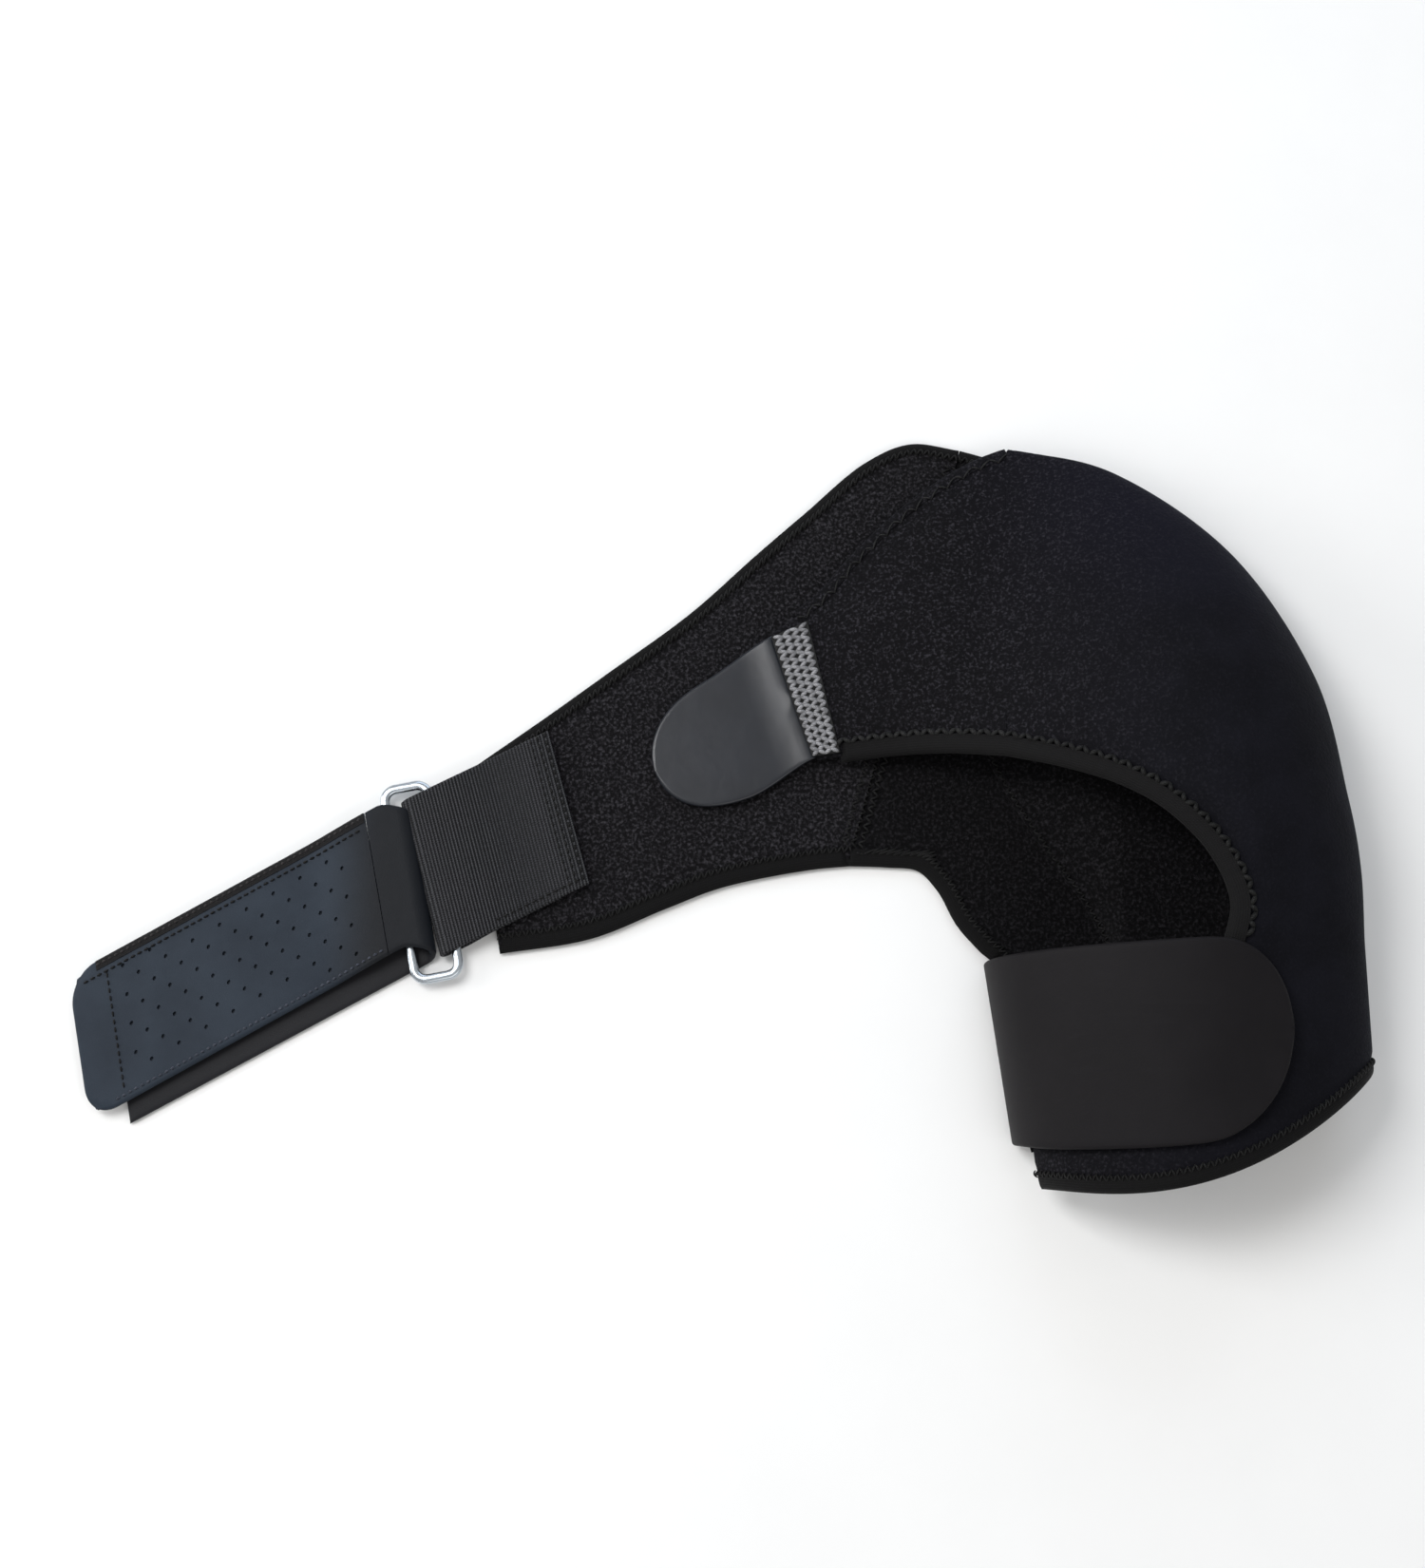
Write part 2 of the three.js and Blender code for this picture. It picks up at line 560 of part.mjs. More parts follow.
function cuffStrap() {
  const root = (u, v) => {
    const y = lerp(cuffTopY, cuffBottomY, u);
    const turned = v * (Math.PI / 2);
    const x = cuffEdgeX(y) - 0.5 - cuff.bend * Math.sin(turned);
    return point(x, y, tableGap + cuff.bend * (1 - Math.cos(turned)));
  };
  const hookLift = cuff.lift - cuff.thickness / 2 - gap - hookThickness / 2;
  return [
    sheet('cuff_strap_root', root, materials.cuffRubber(), { u: 6, v: 5, thickness: cuff.thickness }),
    sheet('cuff_strap', cuffSurface(cuff.lift, 0), materials.cuffRubber(),
      { u: 8, v: 34, thickness: cuff.thickness }),
    sheet('cuff_strap_hooks', cuffSurface(hookLift, 5), materials.hooks(),
      { u: 6, v: 16, thickness: hookThickness }),
  ];
}

// Ring, elastic loop and chest strap

/** Round wire bent into a rectangle with round corners. */
function wireRing() {
  const cornerSteps = 6;
  const sides = 10;
  const halfX = wire.width / 2 - wire.corner;
  const halfY = wire.height / 2 - wire.corner;
  const corners = [[halfX, halfY], [-halfX, halfY], [-halfX, -halfY], [halfX, -halfY]];
  const rings = [];
  corners.forEach(([x, y], quarter) => {
    for (let i = 0; i <= cornerSteps; i += 1) {
      const angle = rad(90 * quarter + (90 * i) / cornerSteps);
      const outward = ringAcross.clone().multiplyScalar(Math.cos(angle));
      outward.addScaledVector(ringUp, Math.sin(angle));
      const centre = ringCentre.clone().addScaledVector(ringAcross, x).addScaledVector(ringUp, y)
        .addScaledVector(outward, wire.corner);
      rings.push(Array.from({ length: sides }, (_, k) => {
        const round = (2 * Math.PI * k) / sides;
        const place = centre.clone().addScaledVector(outward, wire.radius * Math.cos(round));
        return place.setZ(place.z + wire.radius * Math.sin(round));
      }));
    }
  });
  return bar('ring', rings, materials.chrome(), { closed: true });
}

function elasticLoop() {
  const origin = ringCentre.clone().addScaledVector(ringAcross, wire.width / 2)
    .addScaledVector(ringUp, elastic.rise);
  const radius = wire.radius + gap + elastic.thickness / 2;
  const onWing = foam + gap + elastic.thickness / 2;
  const overFold = ringCentre.z + radius;
  const over = onWing + elastic.thickness + gap + 0.2;
  const line = [
    [elastic.top, over],
    [25, over],
    [8, overFold],
    ...turn(-elastic.slack, ringCentre.z, radius, 90, 270),
    [4, ringCentre.z - radius],
    [12, onWing],
    [elastic.back, onWing],
  ];
  return band('elastic_loop', line, elastic.thickness,
    { origin, angle: elastic.angle, halfWidth: elastic.width / 2, material: materials.webbing() });
}

function chestStrap() {
  const leftBar = ringCentre.clone().addScaledVector(ringAcross, -wire.width / 2);
  const origin = leftBar.clone().addScaledVector(ringUp, strapOffset.tail);
  const radius = wire.radius + gap + strap.thickness / 2;
  const placed = { origin, angle: strap.angle, halfWidth: strap.width / 2, material: materials.perforated() };
  const overBar = ringCentre.z + radius;
  const flat = strap.thickness / 2;
  const underLine = [
    [-strap.under, flat],
    [-12, flat],
    ...turn(0, ringCentre.z, radius, -90, 90),
    [-strap.fold, overBar],
  ];
  const tailZ = 2 * strap.thickness + hookThickness + 2 * gap - flat;
  const hookZ = strap.thickness + gap + hookThickness / 2;
  const tip = 12; // radius of the tail's corners
  const straightShare = 0.7;
  const landing = 34; // the tail comes down to the strap under it this far from the bar
  const tailSurface = (u, v) => {
    const turned = Math.max(0, (v - straightShare) / (1 - straightShare)) * endTurn;
    const run = (Math.min(v / straightShare, 1) * (strap.tail - tip)) + tip * Math.sin(turned);
    const half = strap.width / 2 - tip * (1 - Math.cos(turned));
    const back = strap.fold + gap + (run * (strap.tail - strap.fold)) / strap.tail;
    const height = lerp(overBar, tailZ, THREE.MathUtils.smoothstep(back, strap.fold, landing));
    const place = origin.clone().addScaledVector(planDirection(strap.angle), -back);
    return place.addScaledVector(ringUp, half * (1 - 2 * u)).setZ(height);
  };
  const hookLine = [[14 - strap.tail, hookZ], [-10 - landing, hookZ]];
  const lowered = leftBar.clone().addScaledVector(ringUp, strapOffset.under);
  const hooks = { ...placed, halfWidth: strap.width / 2 - 7, material: materials.hooks() };
  return [
    band('chest_strap', underLine, strap.thickness, { ...placed, origin: lowered }),
    sheet('chest_strap_tail', tailSurface, materials.perforated(),
      { u: 6, v: 20, thickness: strap.thickness }),
    band('chest_strap_hooks', hookLine, hookThickness, hooks),
  ];
}

// Cold pack in its pocket on the inside of the back panel

const packBase = foam + gap + 0.2;

function packOutline(inset) {
  const shape = new THREE.Shape();
  shape.moveTo(pack.left + inset, pack.front + inset);
  shape.lineTo(pack.frontRight - inset, pack.front + inset);
  shape.lineTo(pack.frontRight - inset, 0);
  shape.lineTo(pack.backRight - inset, pack.back - inset);
  shape.lineTo(pack.left + inset, pack.back - inset);
  return shape;
}

function coldPack() {
  const corner = 3;
  const geometry = new THREE.ExtrudeGeometry(packOutline(corner), {
    depth: pack.thickness - 2 * corner,
    bevelThickness: corner,
    bevelSize: corner,
    bevelSegments: 3,
  });
  geometry.translate(0, 0, packBase + corner);
  geometry.deleteAttribute('normal');
  geometry.deleteAttribute('uv');
  const mesh = new THREE.Mesh(mergeVertices(geometry, 1e-4), materials.film());
  mesh.name = 'cold_pack';
  return mesh;
}

function pocketLining() {
  const left = [141, 137, 117.5, 99, 88];
  const right = [210, 210, 208, 202, 192];
  const front = -72;
  const back = 56;
  const steepness = { side: 16, end: 10 }; // how soon the lining rises from its stitched edges
  const low = foam + gap + liningThickness / 2;
  const high = packBase + pack.thickness + gap + liningThickness / 2;
  const surface = (u, v) => {
    const x = lerp(along(left, v), along(right, v), u);
    const overPack = (x - along(left, v)) / (pack.left - along(left, v));
    const sideRise = Math.min(1, overPack, (1 - u) * steepness.side);
    const endRise = Math.min(1, (1 - v) * steepness.end);
    const rise = THREE.MathUtils.smoothstep(Math.min(sideRise, endRise), 0, 1);
    return point(x, lerp(front, back, v), lerp(low, high, rise));
  };
  return sheet('pocket_lining', surface, materials.lining(), { u: 16, v: 10, thickness: liningThickness });
}

const wrap = new THREE.Group();
wrap.add(...panels(), ...bindings(), wingSeamTape());
wrap.add(...frontTab(), ...cuffStrap());
wrap.add(wireRing(), elasticLoop(), ...chestStrap());
wrap.add(coldPack(), pocketLining());

// The origin is at the middle of the wrap's box, on the table
const box = new THREE.Box3().setFromObject(wrap);
const centre = box.getCenter(new THREE.Vector3());
wrap.position.set(-centre.x, -centre.y, -box.min.z);

export default wrap;
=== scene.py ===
"""Looks of a one-shoulder cold compression wrap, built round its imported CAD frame.

The surfaces of the panels repeat the CAD's, in millimetres, in the frame that the CAD draws in.
placed() turns them into the row frame, in metres. Fine sheets, folded edge tapes, threads and straps
then stand for the plain CAD solids. The elastic and the chest strap are eased and placed a little
differently from the CAD's, within a few millimetres.
"""

import json
import math

import bmesh
import bpy
import numpy as np
from mathutils import Vector
from mathutils.geometry import delaunay_2d_cdt
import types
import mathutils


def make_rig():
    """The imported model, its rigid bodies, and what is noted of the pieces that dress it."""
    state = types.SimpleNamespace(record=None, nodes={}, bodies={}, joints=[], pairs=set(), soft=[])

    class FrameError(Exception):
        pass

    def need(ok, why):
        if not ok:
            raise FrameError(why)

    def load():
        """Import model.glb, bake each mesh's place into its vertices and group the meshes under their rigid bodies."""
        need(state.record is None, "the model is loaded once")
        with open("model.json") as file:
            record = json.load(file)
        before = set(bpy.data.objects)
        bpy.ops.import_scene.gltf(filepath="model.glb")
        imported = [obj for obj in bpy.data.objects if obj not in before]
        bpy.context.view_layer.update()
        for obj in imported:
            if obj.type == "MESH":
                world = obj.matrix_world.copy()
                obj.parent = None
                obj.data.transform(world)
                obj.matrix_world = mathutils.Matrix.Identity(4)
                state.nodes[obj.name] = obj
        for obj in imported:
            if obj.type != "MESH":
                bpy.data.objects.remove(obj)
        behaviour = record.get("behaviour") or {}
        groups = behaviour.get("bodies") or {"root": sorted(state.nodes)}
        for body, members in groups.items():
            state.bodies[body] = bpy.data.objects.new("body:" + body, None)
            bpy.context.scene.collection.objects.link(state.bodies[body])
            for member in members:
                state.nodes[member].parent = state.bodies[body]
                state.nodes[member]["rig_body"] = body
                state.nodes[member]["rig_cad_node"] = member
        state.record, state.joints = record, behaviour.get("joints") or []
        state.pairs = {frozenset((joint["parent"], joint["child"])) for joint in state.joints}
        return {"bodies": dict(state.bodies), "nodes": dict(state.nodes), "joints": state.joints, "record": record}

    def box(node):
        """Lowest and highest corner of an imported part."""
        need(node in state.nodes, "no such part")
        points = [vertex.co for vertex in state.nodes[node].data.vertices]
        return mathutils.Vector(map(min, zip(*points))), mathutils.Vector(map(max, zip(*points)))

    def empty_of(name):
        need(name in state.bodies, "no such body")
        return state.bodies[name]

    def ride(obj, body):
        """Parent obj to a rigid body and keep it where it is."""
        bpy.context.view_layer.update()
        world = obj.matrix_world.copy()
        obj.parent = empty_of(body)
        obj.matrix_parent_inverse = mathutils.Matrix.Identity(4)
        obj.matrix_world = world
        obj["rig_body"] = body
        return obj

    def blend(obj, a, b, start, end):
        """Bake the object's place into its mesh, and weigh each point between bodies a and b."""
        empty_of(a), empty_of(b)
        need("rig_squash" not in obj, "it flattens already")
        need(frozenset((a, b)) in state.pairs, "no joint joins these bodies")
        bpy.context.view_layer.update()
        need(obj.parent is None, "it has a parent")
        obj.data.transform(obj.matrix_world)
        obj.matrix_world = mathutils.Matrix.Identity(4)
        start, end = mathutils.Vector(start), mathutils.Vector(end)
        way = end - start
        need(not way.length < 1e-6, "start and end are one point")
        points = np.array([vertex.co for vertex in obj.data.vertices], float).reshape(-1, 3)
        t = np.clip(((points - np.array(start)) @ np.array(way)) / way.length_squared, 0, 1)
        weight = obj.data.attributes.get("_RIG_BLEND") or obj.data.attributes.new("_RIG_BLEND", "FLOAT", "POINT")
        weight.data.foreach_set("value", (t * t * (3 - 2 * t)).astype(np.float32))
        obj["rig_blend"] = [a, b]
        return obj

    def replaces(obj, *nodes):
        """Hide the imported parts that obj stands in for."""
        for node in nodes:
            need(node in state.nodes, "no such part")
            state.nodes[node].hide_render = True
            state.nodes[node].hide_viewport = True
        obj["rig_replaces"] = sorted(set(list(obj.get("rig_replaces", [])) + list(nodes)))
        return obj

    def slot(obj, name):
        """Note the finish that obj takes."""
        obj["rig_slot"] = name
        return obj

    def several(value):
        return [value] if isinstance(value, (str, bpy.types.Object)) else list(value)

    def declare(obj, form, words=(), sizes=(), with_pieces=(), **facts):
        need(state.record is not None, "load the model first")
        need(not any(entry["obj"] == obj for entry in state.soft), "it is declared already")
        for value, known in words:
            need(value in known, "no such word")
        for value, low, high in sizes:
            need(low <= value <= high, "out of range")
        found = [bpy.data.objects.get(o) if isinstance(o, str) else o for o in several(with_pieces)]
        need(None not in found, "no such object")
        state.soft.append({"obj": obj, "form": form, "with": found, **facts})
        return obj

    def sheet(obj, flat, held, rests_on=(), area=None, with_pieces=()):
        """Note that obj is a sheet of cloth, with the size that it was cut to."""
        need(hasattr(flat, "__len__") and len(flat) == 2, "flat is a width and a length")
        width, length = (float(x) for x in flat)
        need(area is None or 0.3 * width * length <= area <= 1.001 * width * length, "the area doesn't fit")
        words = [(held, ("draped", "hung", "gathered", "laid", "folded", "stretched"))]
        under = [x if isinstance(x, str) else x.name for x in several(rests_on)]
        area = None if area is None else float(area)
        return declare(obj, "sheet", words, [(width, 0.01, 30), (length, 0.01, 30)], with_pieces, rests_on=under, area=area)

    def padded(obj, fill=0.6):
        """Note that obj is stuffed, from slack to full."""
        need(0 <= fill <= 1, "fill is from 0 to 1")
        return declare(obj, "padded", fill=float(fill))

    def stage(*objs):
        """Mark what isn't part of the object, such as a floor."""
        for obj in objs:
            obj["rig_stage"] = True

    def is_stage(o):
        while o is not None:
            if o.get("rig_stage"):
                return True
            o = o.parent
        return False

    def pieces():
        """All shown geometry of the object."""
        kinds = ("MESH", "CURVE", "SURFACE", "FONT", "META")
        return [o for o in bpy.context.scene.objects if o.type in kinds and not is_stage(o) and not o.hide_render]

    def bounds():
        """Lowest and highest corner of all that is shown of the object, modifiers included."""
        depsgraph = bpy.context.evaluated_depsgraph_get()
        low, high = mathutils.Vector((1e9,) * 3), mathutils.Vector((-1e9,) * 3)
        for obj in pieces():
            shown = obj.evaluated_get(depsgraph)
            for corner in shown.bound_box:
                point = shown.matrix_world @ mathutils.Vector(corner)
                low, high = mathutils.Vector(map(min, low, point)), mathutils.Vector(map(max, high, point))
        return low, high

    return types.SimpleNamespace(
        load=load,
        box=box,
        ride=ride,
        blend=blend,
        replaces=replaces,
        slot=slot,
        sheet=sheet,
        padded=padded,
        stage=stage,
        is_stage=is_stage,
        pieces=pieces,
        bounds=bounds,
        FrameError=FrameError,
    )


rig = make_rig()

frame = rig.load()
cad_low, cad_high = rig.bounds()

# ---------------------------------------------------------------- dimensions, in millimetres

MM = 0.001
FOAM = 4.0
TABLE = FOAM / 2  # height of the middle of a panel that lies on the table
TAPE = 0.5  # thickness of the edge tapes
TAPE_NOSE = 2.3  # how far a folded tape stands out past its edge
STITCH = 0.34  # radius of the sewing thread
GAP = 0.3  # between pieces that lie against each other

TAB_LENGTH, TAB_WIDTH, TAB_THICKNESS = 58.0, 49.0, 1.8
TAB_RISE, TAB_BEND = 1.6, 16.0  # how far the tab drops below its root, and the distance that this takes
TAB_LEAN, TAB_SAG = 6.0, 4.0  # degrees off square to the flap's edge, and how far the tab shifts sideways
CUFF_THICKNESS, CUFF_BEND, CUFF_LIFT = 2.5, 5.0, 4.9
CUFF_SLANT, CUFF_RIGHT = 0.138, 195.0
WIRE_RADIUS, WIRE_HALF_HEIGHT = 1.8, 1.55
WIRE_WIDTH, WIRE_HEIGHT, WIRE_CORNER, WIRE_TILT = 16.4, 71.6, 4.5, 11.0
ELASTIC_THICKNESS, ELASTIC_WIDTH = 1.5, 59.4
ELASTIC_ANGLE, ELASTIC_SIDE, ELASTIC_RISE = 26.6, 105.5, 3.0
RIB_PITCH = 1.25
STRAP_THICKNESS, STRAP_WIDTH, STRAP_ANGLE = 2.5, 53.6, 29.5
STRAP_UNDER, STRAP_TAIL, STRAP_FOLD, STRAP_TIP = 116.0, 130.0, 8.0, 12.0
STRAP_SLACK = 5.0  # how far the strap's turn bulges past the bar, towards the elastic
TAIL_OFFSET, UNDER_OFFSET = 4.4, -4.7  # how far the strap's two layers lie up the ring's bar
HOOK_THICKNESS = 1.0
PACK_THICKNESS, PACK_FRONT, PACK_BACK, PACK_LEFT = 9.0, -68.0, 44.0, 146.0
PACK_FRONT_RIGHT, PACK_BACK_RIGHT = 200.0, 188.0

RING_CENTRE = np.array([-110.5, -19.5, 4.7])

ring_low, ring_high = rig.box("ring")
SHIFT = np.array((ring_low + ring_high) / 2) / MM - RING_CENTRE


def placed(points):
    """Points in the CAD's drawing frame, in millimetres, as points in the row frame, in metres."""
    return (np.asarray(points, float) + SHIFT) * MM


# ---------------------------------------------------------------- small helpers


def lerp(a, b, t):
    return a + (b - a) * t


def smoothstep(x, low, high):
    t = np.clip((x - low) / (high - low), 0, 1)
    return t * t * (3 - 2 * t)


def unit(v):
    return v / np.maximum(np.linalg.norm(v, axis=-1, keepdims=True), 1e-9)


def xyz(x, y, z=TABLE):
    return np.stack(np.broadcast_arrays(x, y, z), -1).astype(float)


def direction(degrees):
    return np.array([math.cos(math.radians(degrees)), math.sin(math.radians(degrees)), 0.0])


def hermite(start, end, slope_start, slope_end, t):
    """Cubic from start to end with these slopes, at t from 0 to 1."""
    return (
        start * (2 * t**3 - 3 * t**2 + 1)
        + slope_start * (t**3 - 2 * t**2 + t)
        + end * (3 * t**2 - 2 * t**3)
        + slope_end * (t**3 - t**2)
    )


def along(values, t):
    """Smooth value at t (0 to 1) through a list of evenly spaced values."""
    values = np.asarray(values, float)
    last = len(values) - 1
    place = np.clip(t, 0, 1) * last
    i = np.minimum(np.floor(place).astype(int), last - 1)
    start, end = values[i], values[i + 1]
    slope_start = (end - values[np.maximum(i - 1, 0)]) / np.where(i > 0, 2, 1)
    slope_end = (values[np.minimum(i + 2, last)] - start) / np.where(i + 2 <= last, 2, 1)
    return hermite(start, end, slope_start, slope_end, place - i)


def alternating(count, first, second, start=0):
    """first, second, first, second, and so on, or from the second if start is odd."""
    return np.where((np.arange(count) + start) % 2 == 0, first, second)


def path_length(points):
    """Distance along a line of points, from its first point."""
    steps = np.linalg.norm(np.diff(points, axis=0), axis=1)
    return np.concatenate([[0], np.cumsum(steps)])


def by_length(dense):
    """The line through closely spaced points, as a function of the share of its length."""
    length = path_length(dense)

    def at(t):
        s = np.clip(t, 0, 1) * length[-1]
        return np.stack([np.interp(s, length, dense[:, k]) for k in range(3)], -1)

    return at


def through(*points):
    """Evenly paced centripetal curve through points, as a function of t."""
    p = np.array([q if len(q) == 3 else (*q, TABLE) for q in points], float)
    p = np.concatenate([[2 * p[0] - p[1]], p, [2 * p[-1] - p[-2]]])
    w = np.linspace(0, 1, 40, endpoint=False)[:, None]
    pieces = []
    for a, b, c, d in zip(p, p[1:], p[2:], p[3:]):
        t0, t1, t2 = (math.sqrt(np.linalg.norm(q - r)) for q, r in ((b, a), (c, b), (d, c)))
        out_slope = ((b - a) / t0 - (c - a) / (t0 + t1) + (c - b) / t1) * t1
        in_slope = ((c - b) / t1 - (d - b) / (t1 + t2) + (d - c) / t2) * t1
        pieces.append(hermite(b, c, out_slope, in_slope, w))
    return by_length(np.concatenate([*pieces, p[-2:-1]]))


def slopes(surface, u, v):
    """How a surface moves with u and with v, in millimetres for the whole way across."""
    e = 1e-3
    ua, ub = np.maximum(u - e, 0), np.minimum(u + e, 1)
    va, vb = np.maximum(v - e, 0), np.minimum(v + e, 1)
    du = (surface(ub, v) - surface(ua, v)) / (ub - ua)[..., None]
    dv = (surface(u, vb) - surface(u, va)) / (vb - va)[..., None]
    return du, dv


def normals(surface, u, v):
    """Unit normals of a surface, on the side that a turn from u to v gives."""
    du, dv = slopes(surface, u, v)
    return unit(np.cross(du, dv))


def side_up(normal):
    """1 where most of a surface's normals point up, and -1 where most point down."""
    return np.where((normal[..., 2] < 0).mean() > 0.5, -1.0, 1.0)


def upward(normal):
    """The same normals, each turned to point up."""
    return normal * np.where(normal[..., 2:] < 0, -1.0, 1.0)


STEPS = np.linspace(0, 1, 120)


def surface_line(surface, u, v):
    """Points along a line of a surface."""
    return surface(*np.broadcast_arrays(u, v))


# ---------------------------------------------------------------- surfaces of the panels

SLEEVE_MIDDLE, SLEEVE_HALF = 168.0, 60.0
ROLL_IN = 15.0  # how far the roll under the fold turns in on the table
CROWN_X = 174.0
SLEEVE_RIGHT = 225.3  # the fold's place where the cap meets the sleeve


def across_sleeve(x):
    return (x - SLEEVE_MIDDLE) / SLEEVE_HALF


def sleeve_top_y(x):
    return -52 + 6 * across_sleeve(x)


def sleeve_hem_y(x):
    return -128 + 19 * across_sleeve(x) + 19 * across_sleeve(x) ** 2


# Stations of the shoulder cap, from the peak to the sleeve
CAP_OUTER = [
    (107, 144), (145, 131), (185, 98), (212, 51), (221.5, 6), (225, -20),
    (SLEEVE_RIGHT, sleeve_top_y(SLEEVE_RIGHT)),
]
CAP_INNER = [
    (102, 24), (121, 18), (140, 10), (156, -1), (170, -17), (177, -35), (CROWN_X, sleeve_top_y(CROWN_X)),
]
CAP_FOLD = [6.6, 16, 23, 28, 30, 29, 28]
CAP_CROWN = [31, 40, 48, 54, 57, 58, 57]
CAP_ROUND = [0, 0.6, 1, 1, 1, 1, 1]
CAP_FOOT = [4.6, 10, 13.5, ROLL_IN, ROLL_IN, ROLL_IN, ROLL_IN]
CAP_SWELL = [0, 5, 8, 9, 6, 2, 0]
ROLL_SHARE = 0.2  # the cap's v at its fold


def cap_surface(u, v):
    """The shoulder cap: from the table round the fold (v up to ROLL_SHARE), then over to the armhole."""
    outer = np.stack([along([p[k] for p in CAP_OUTER], u) for k in (0, 1)], -1)
    inner = np.stack([along([p[k] for p in CAP_INNER], u) for k in (0, 1)], -1)
    fold, crown = along(CAP_FOLD, u), along(CAP_CROWN, u)
    rolled = np.clip(v / ROLL_SHARE, 0, 1) * (math.pi / 2)
    inset = along(CAP_FOOT, u) * (1 - np.sin(rolled))
    roll_plan = outer + unit(inner - outer) * inset[..., None]
    roll_z = fold - (fold - TABLE) * np.cos(rolled)
    turned = np.clip((v - ROLL_SHARE) / (1 - ROLL_SHARE), 0, 1) * (math.pi / 2)
    share = 1 - np.cos(turned)
    rise = lerp(share, np.sin(turned), along(CAP_ROUND, u))
    over_z = fold + (crown - fold) * rise + along(CAP_SWELL, u) * 4 * share * (1 - share)
    over_plan = lerp(outer, inner, share[..., None])
    on_roll = v < ROLL_SHARE
    plan = np.where(on_roll[..., None], roll_plan, over_plan)
    return xyz(plan[..., 0], plan[..., 1], np.where(on_roll, roll_z, over_z))


SLEEVE = {
    "right": (SLEEVE_RIGHT, SLEEVE_RIGHT + 2), "crown_x": (CROWN_X, 170), "left": (103, 111),
    "fold": (28, 24), "crown": (57, 52), "left_z": 4.0,
}
SLEEVE_END = 168.0  # degrees round the arm where the sleeve's free edge lies
SLEEVE_ROLL = 0.13  # the sleeve's v at its fold


def arch_at(shape, u, degrees, lift=0.0):
    """Point of the arch over the arm: a quarter of an ellipse on each side of the crown."""
    crown_x = lerp(*shape["crown_x"], u)
    crown_z = lerp(*shape["crown"], u) + lift
    on_right = degrees < 90
    side = np.where(on_right, lerp(*shape["right"], u) - crown_x, crown_x - lerp(*shape["left"], u))
    base = np.where(on_right, lerp(*shape["fold"], u), shape["left_z"]) + lift
    angle = np.radians(degrees)
    return crown_x + side * np.cos(angle), base + (crown_z - base) * np.sin(angle)


def sleeve_surface(u, v):
    """The sleeve: from the table round the fold (v up to SLEEVE_ROLL), then over the arm."""
    rolled = np.clip(v / SLEEVE_ROLL, 0, 1) * (math.pi / 2)
    right, fold = lerp(*SLEEVE["right"], u), lerp(*SLEEVE["fold"], u)
    roll_x = right - ROLL_IN * (1 - np.sin(rolled))
    roll_y = lerp(sleeve_top_y(roll_x), sleeve_hem_y(right), u)
    roll_z = fold - (fold - TABLE) * np.cos(rolled)
    degrees = np.clip((v - SLEEVE_ROLL) / (1 - SLEEVE_ROLL), 0, 1) * SLEEVE_END
    over_x, over_z = arch_at(SLEEVE, u, degrees)
    over_y = lerp(sleeve_top_y(over_x), sleeve_hem_y(over_x), u)
    on_roll = (v < SLEEVE_ROLL)[..., None]
    return np.where(on_roll, xyz(roll_x, roll_y, roll_z), xyz(over_x, over_y, over_z))


SEAM_TOP = np.array([89, 144.5, TABLE])
SEAM_FOOT = np.array([46, -11, TABLE])
wing_top = through(
    (-94, 20), (-66, 40), (-43, 57), (-11, 81), (14, 104), (32, 120), (55, 140), (71, 147), SEAM_TOP,
)
wing_bottom = through((-82, -43.5), (-49, -38), (-22, -27), (-1, -19), (31, -12.5), SEAM_FOOT)


def wing_surface(u, v):
    return lerp(wing_bottom(u), wing_top(u), v[..., None])


CUFF_TOP_Y, CUFF_BOTTOM_Y = -49.5, -115.5


def cuff_edge_x(y):
    return 100.8 + CUFF_SLANT * (CUFF_TOP_Y - y)


armpit_edge = through(
    SEAM_FOOT, (60, -11.5), (72, -13), (80, -21), (87, -34), (94.2, -42.5),
    *((cuff_edge_x(y), y) for y in (CUFF_TOP_Y, -85, CUFF_BOTTOM_Y)),
)
SEAM_SHARE, CAP_SHARE = 0.36, 0.86  # the back panel's u at the seam's foot, and where cap and sleeve meet


def panel_left(u):
    """Left edge of the back half: down the wing's seam, then the armpit's edge."""
    on_seam = lerp(SEAM_TOP, SEAM_FOOT, np.clip(u / SEAM_SHARE, 0, 1)[..., None])
    return np.where((u < SEAM_SHARE)[..., None], on_seam, armpit_edge((u - SEAM_SHARE) / (1 - SEAM_SHARE)))


def panel_right(u):
    """Right edge of the back half, where the cap's roll and the sleeve's roll start."""
    zero = np.zeros_like(u)
    on_cap = cap_surface(np.clip(u / CAP_SHARE, 0, 1), zero)
    on_sleeve = sleeve_surface(np.clip((u - CAP_SHARE) / (1 - CAP_SHARE), 0, 1), zero)
    return np.where((u < CAP_SHARE)[..., None], on_cap, on_sleeve)


def back_surface(u, v):
    """The back half, flat on the table: u runs from the peak to the hem, and v from left to right."""
    return lerp(panel_left(u), panel_right(u), v[..., None])


flap_bottom = through((34.5, 25.5, 7.3), (62, 28, 13), (82, 27, 22), (102, 24, 31))
flap_top = through(
    (18, 73.5, 7.3), (37, 88, 7.6), (49, 102, 7.8), (71, 123, 7.6), (93, 138, 7), (107, 144, 6.6),
)
FLAP_SWELL = 5.0


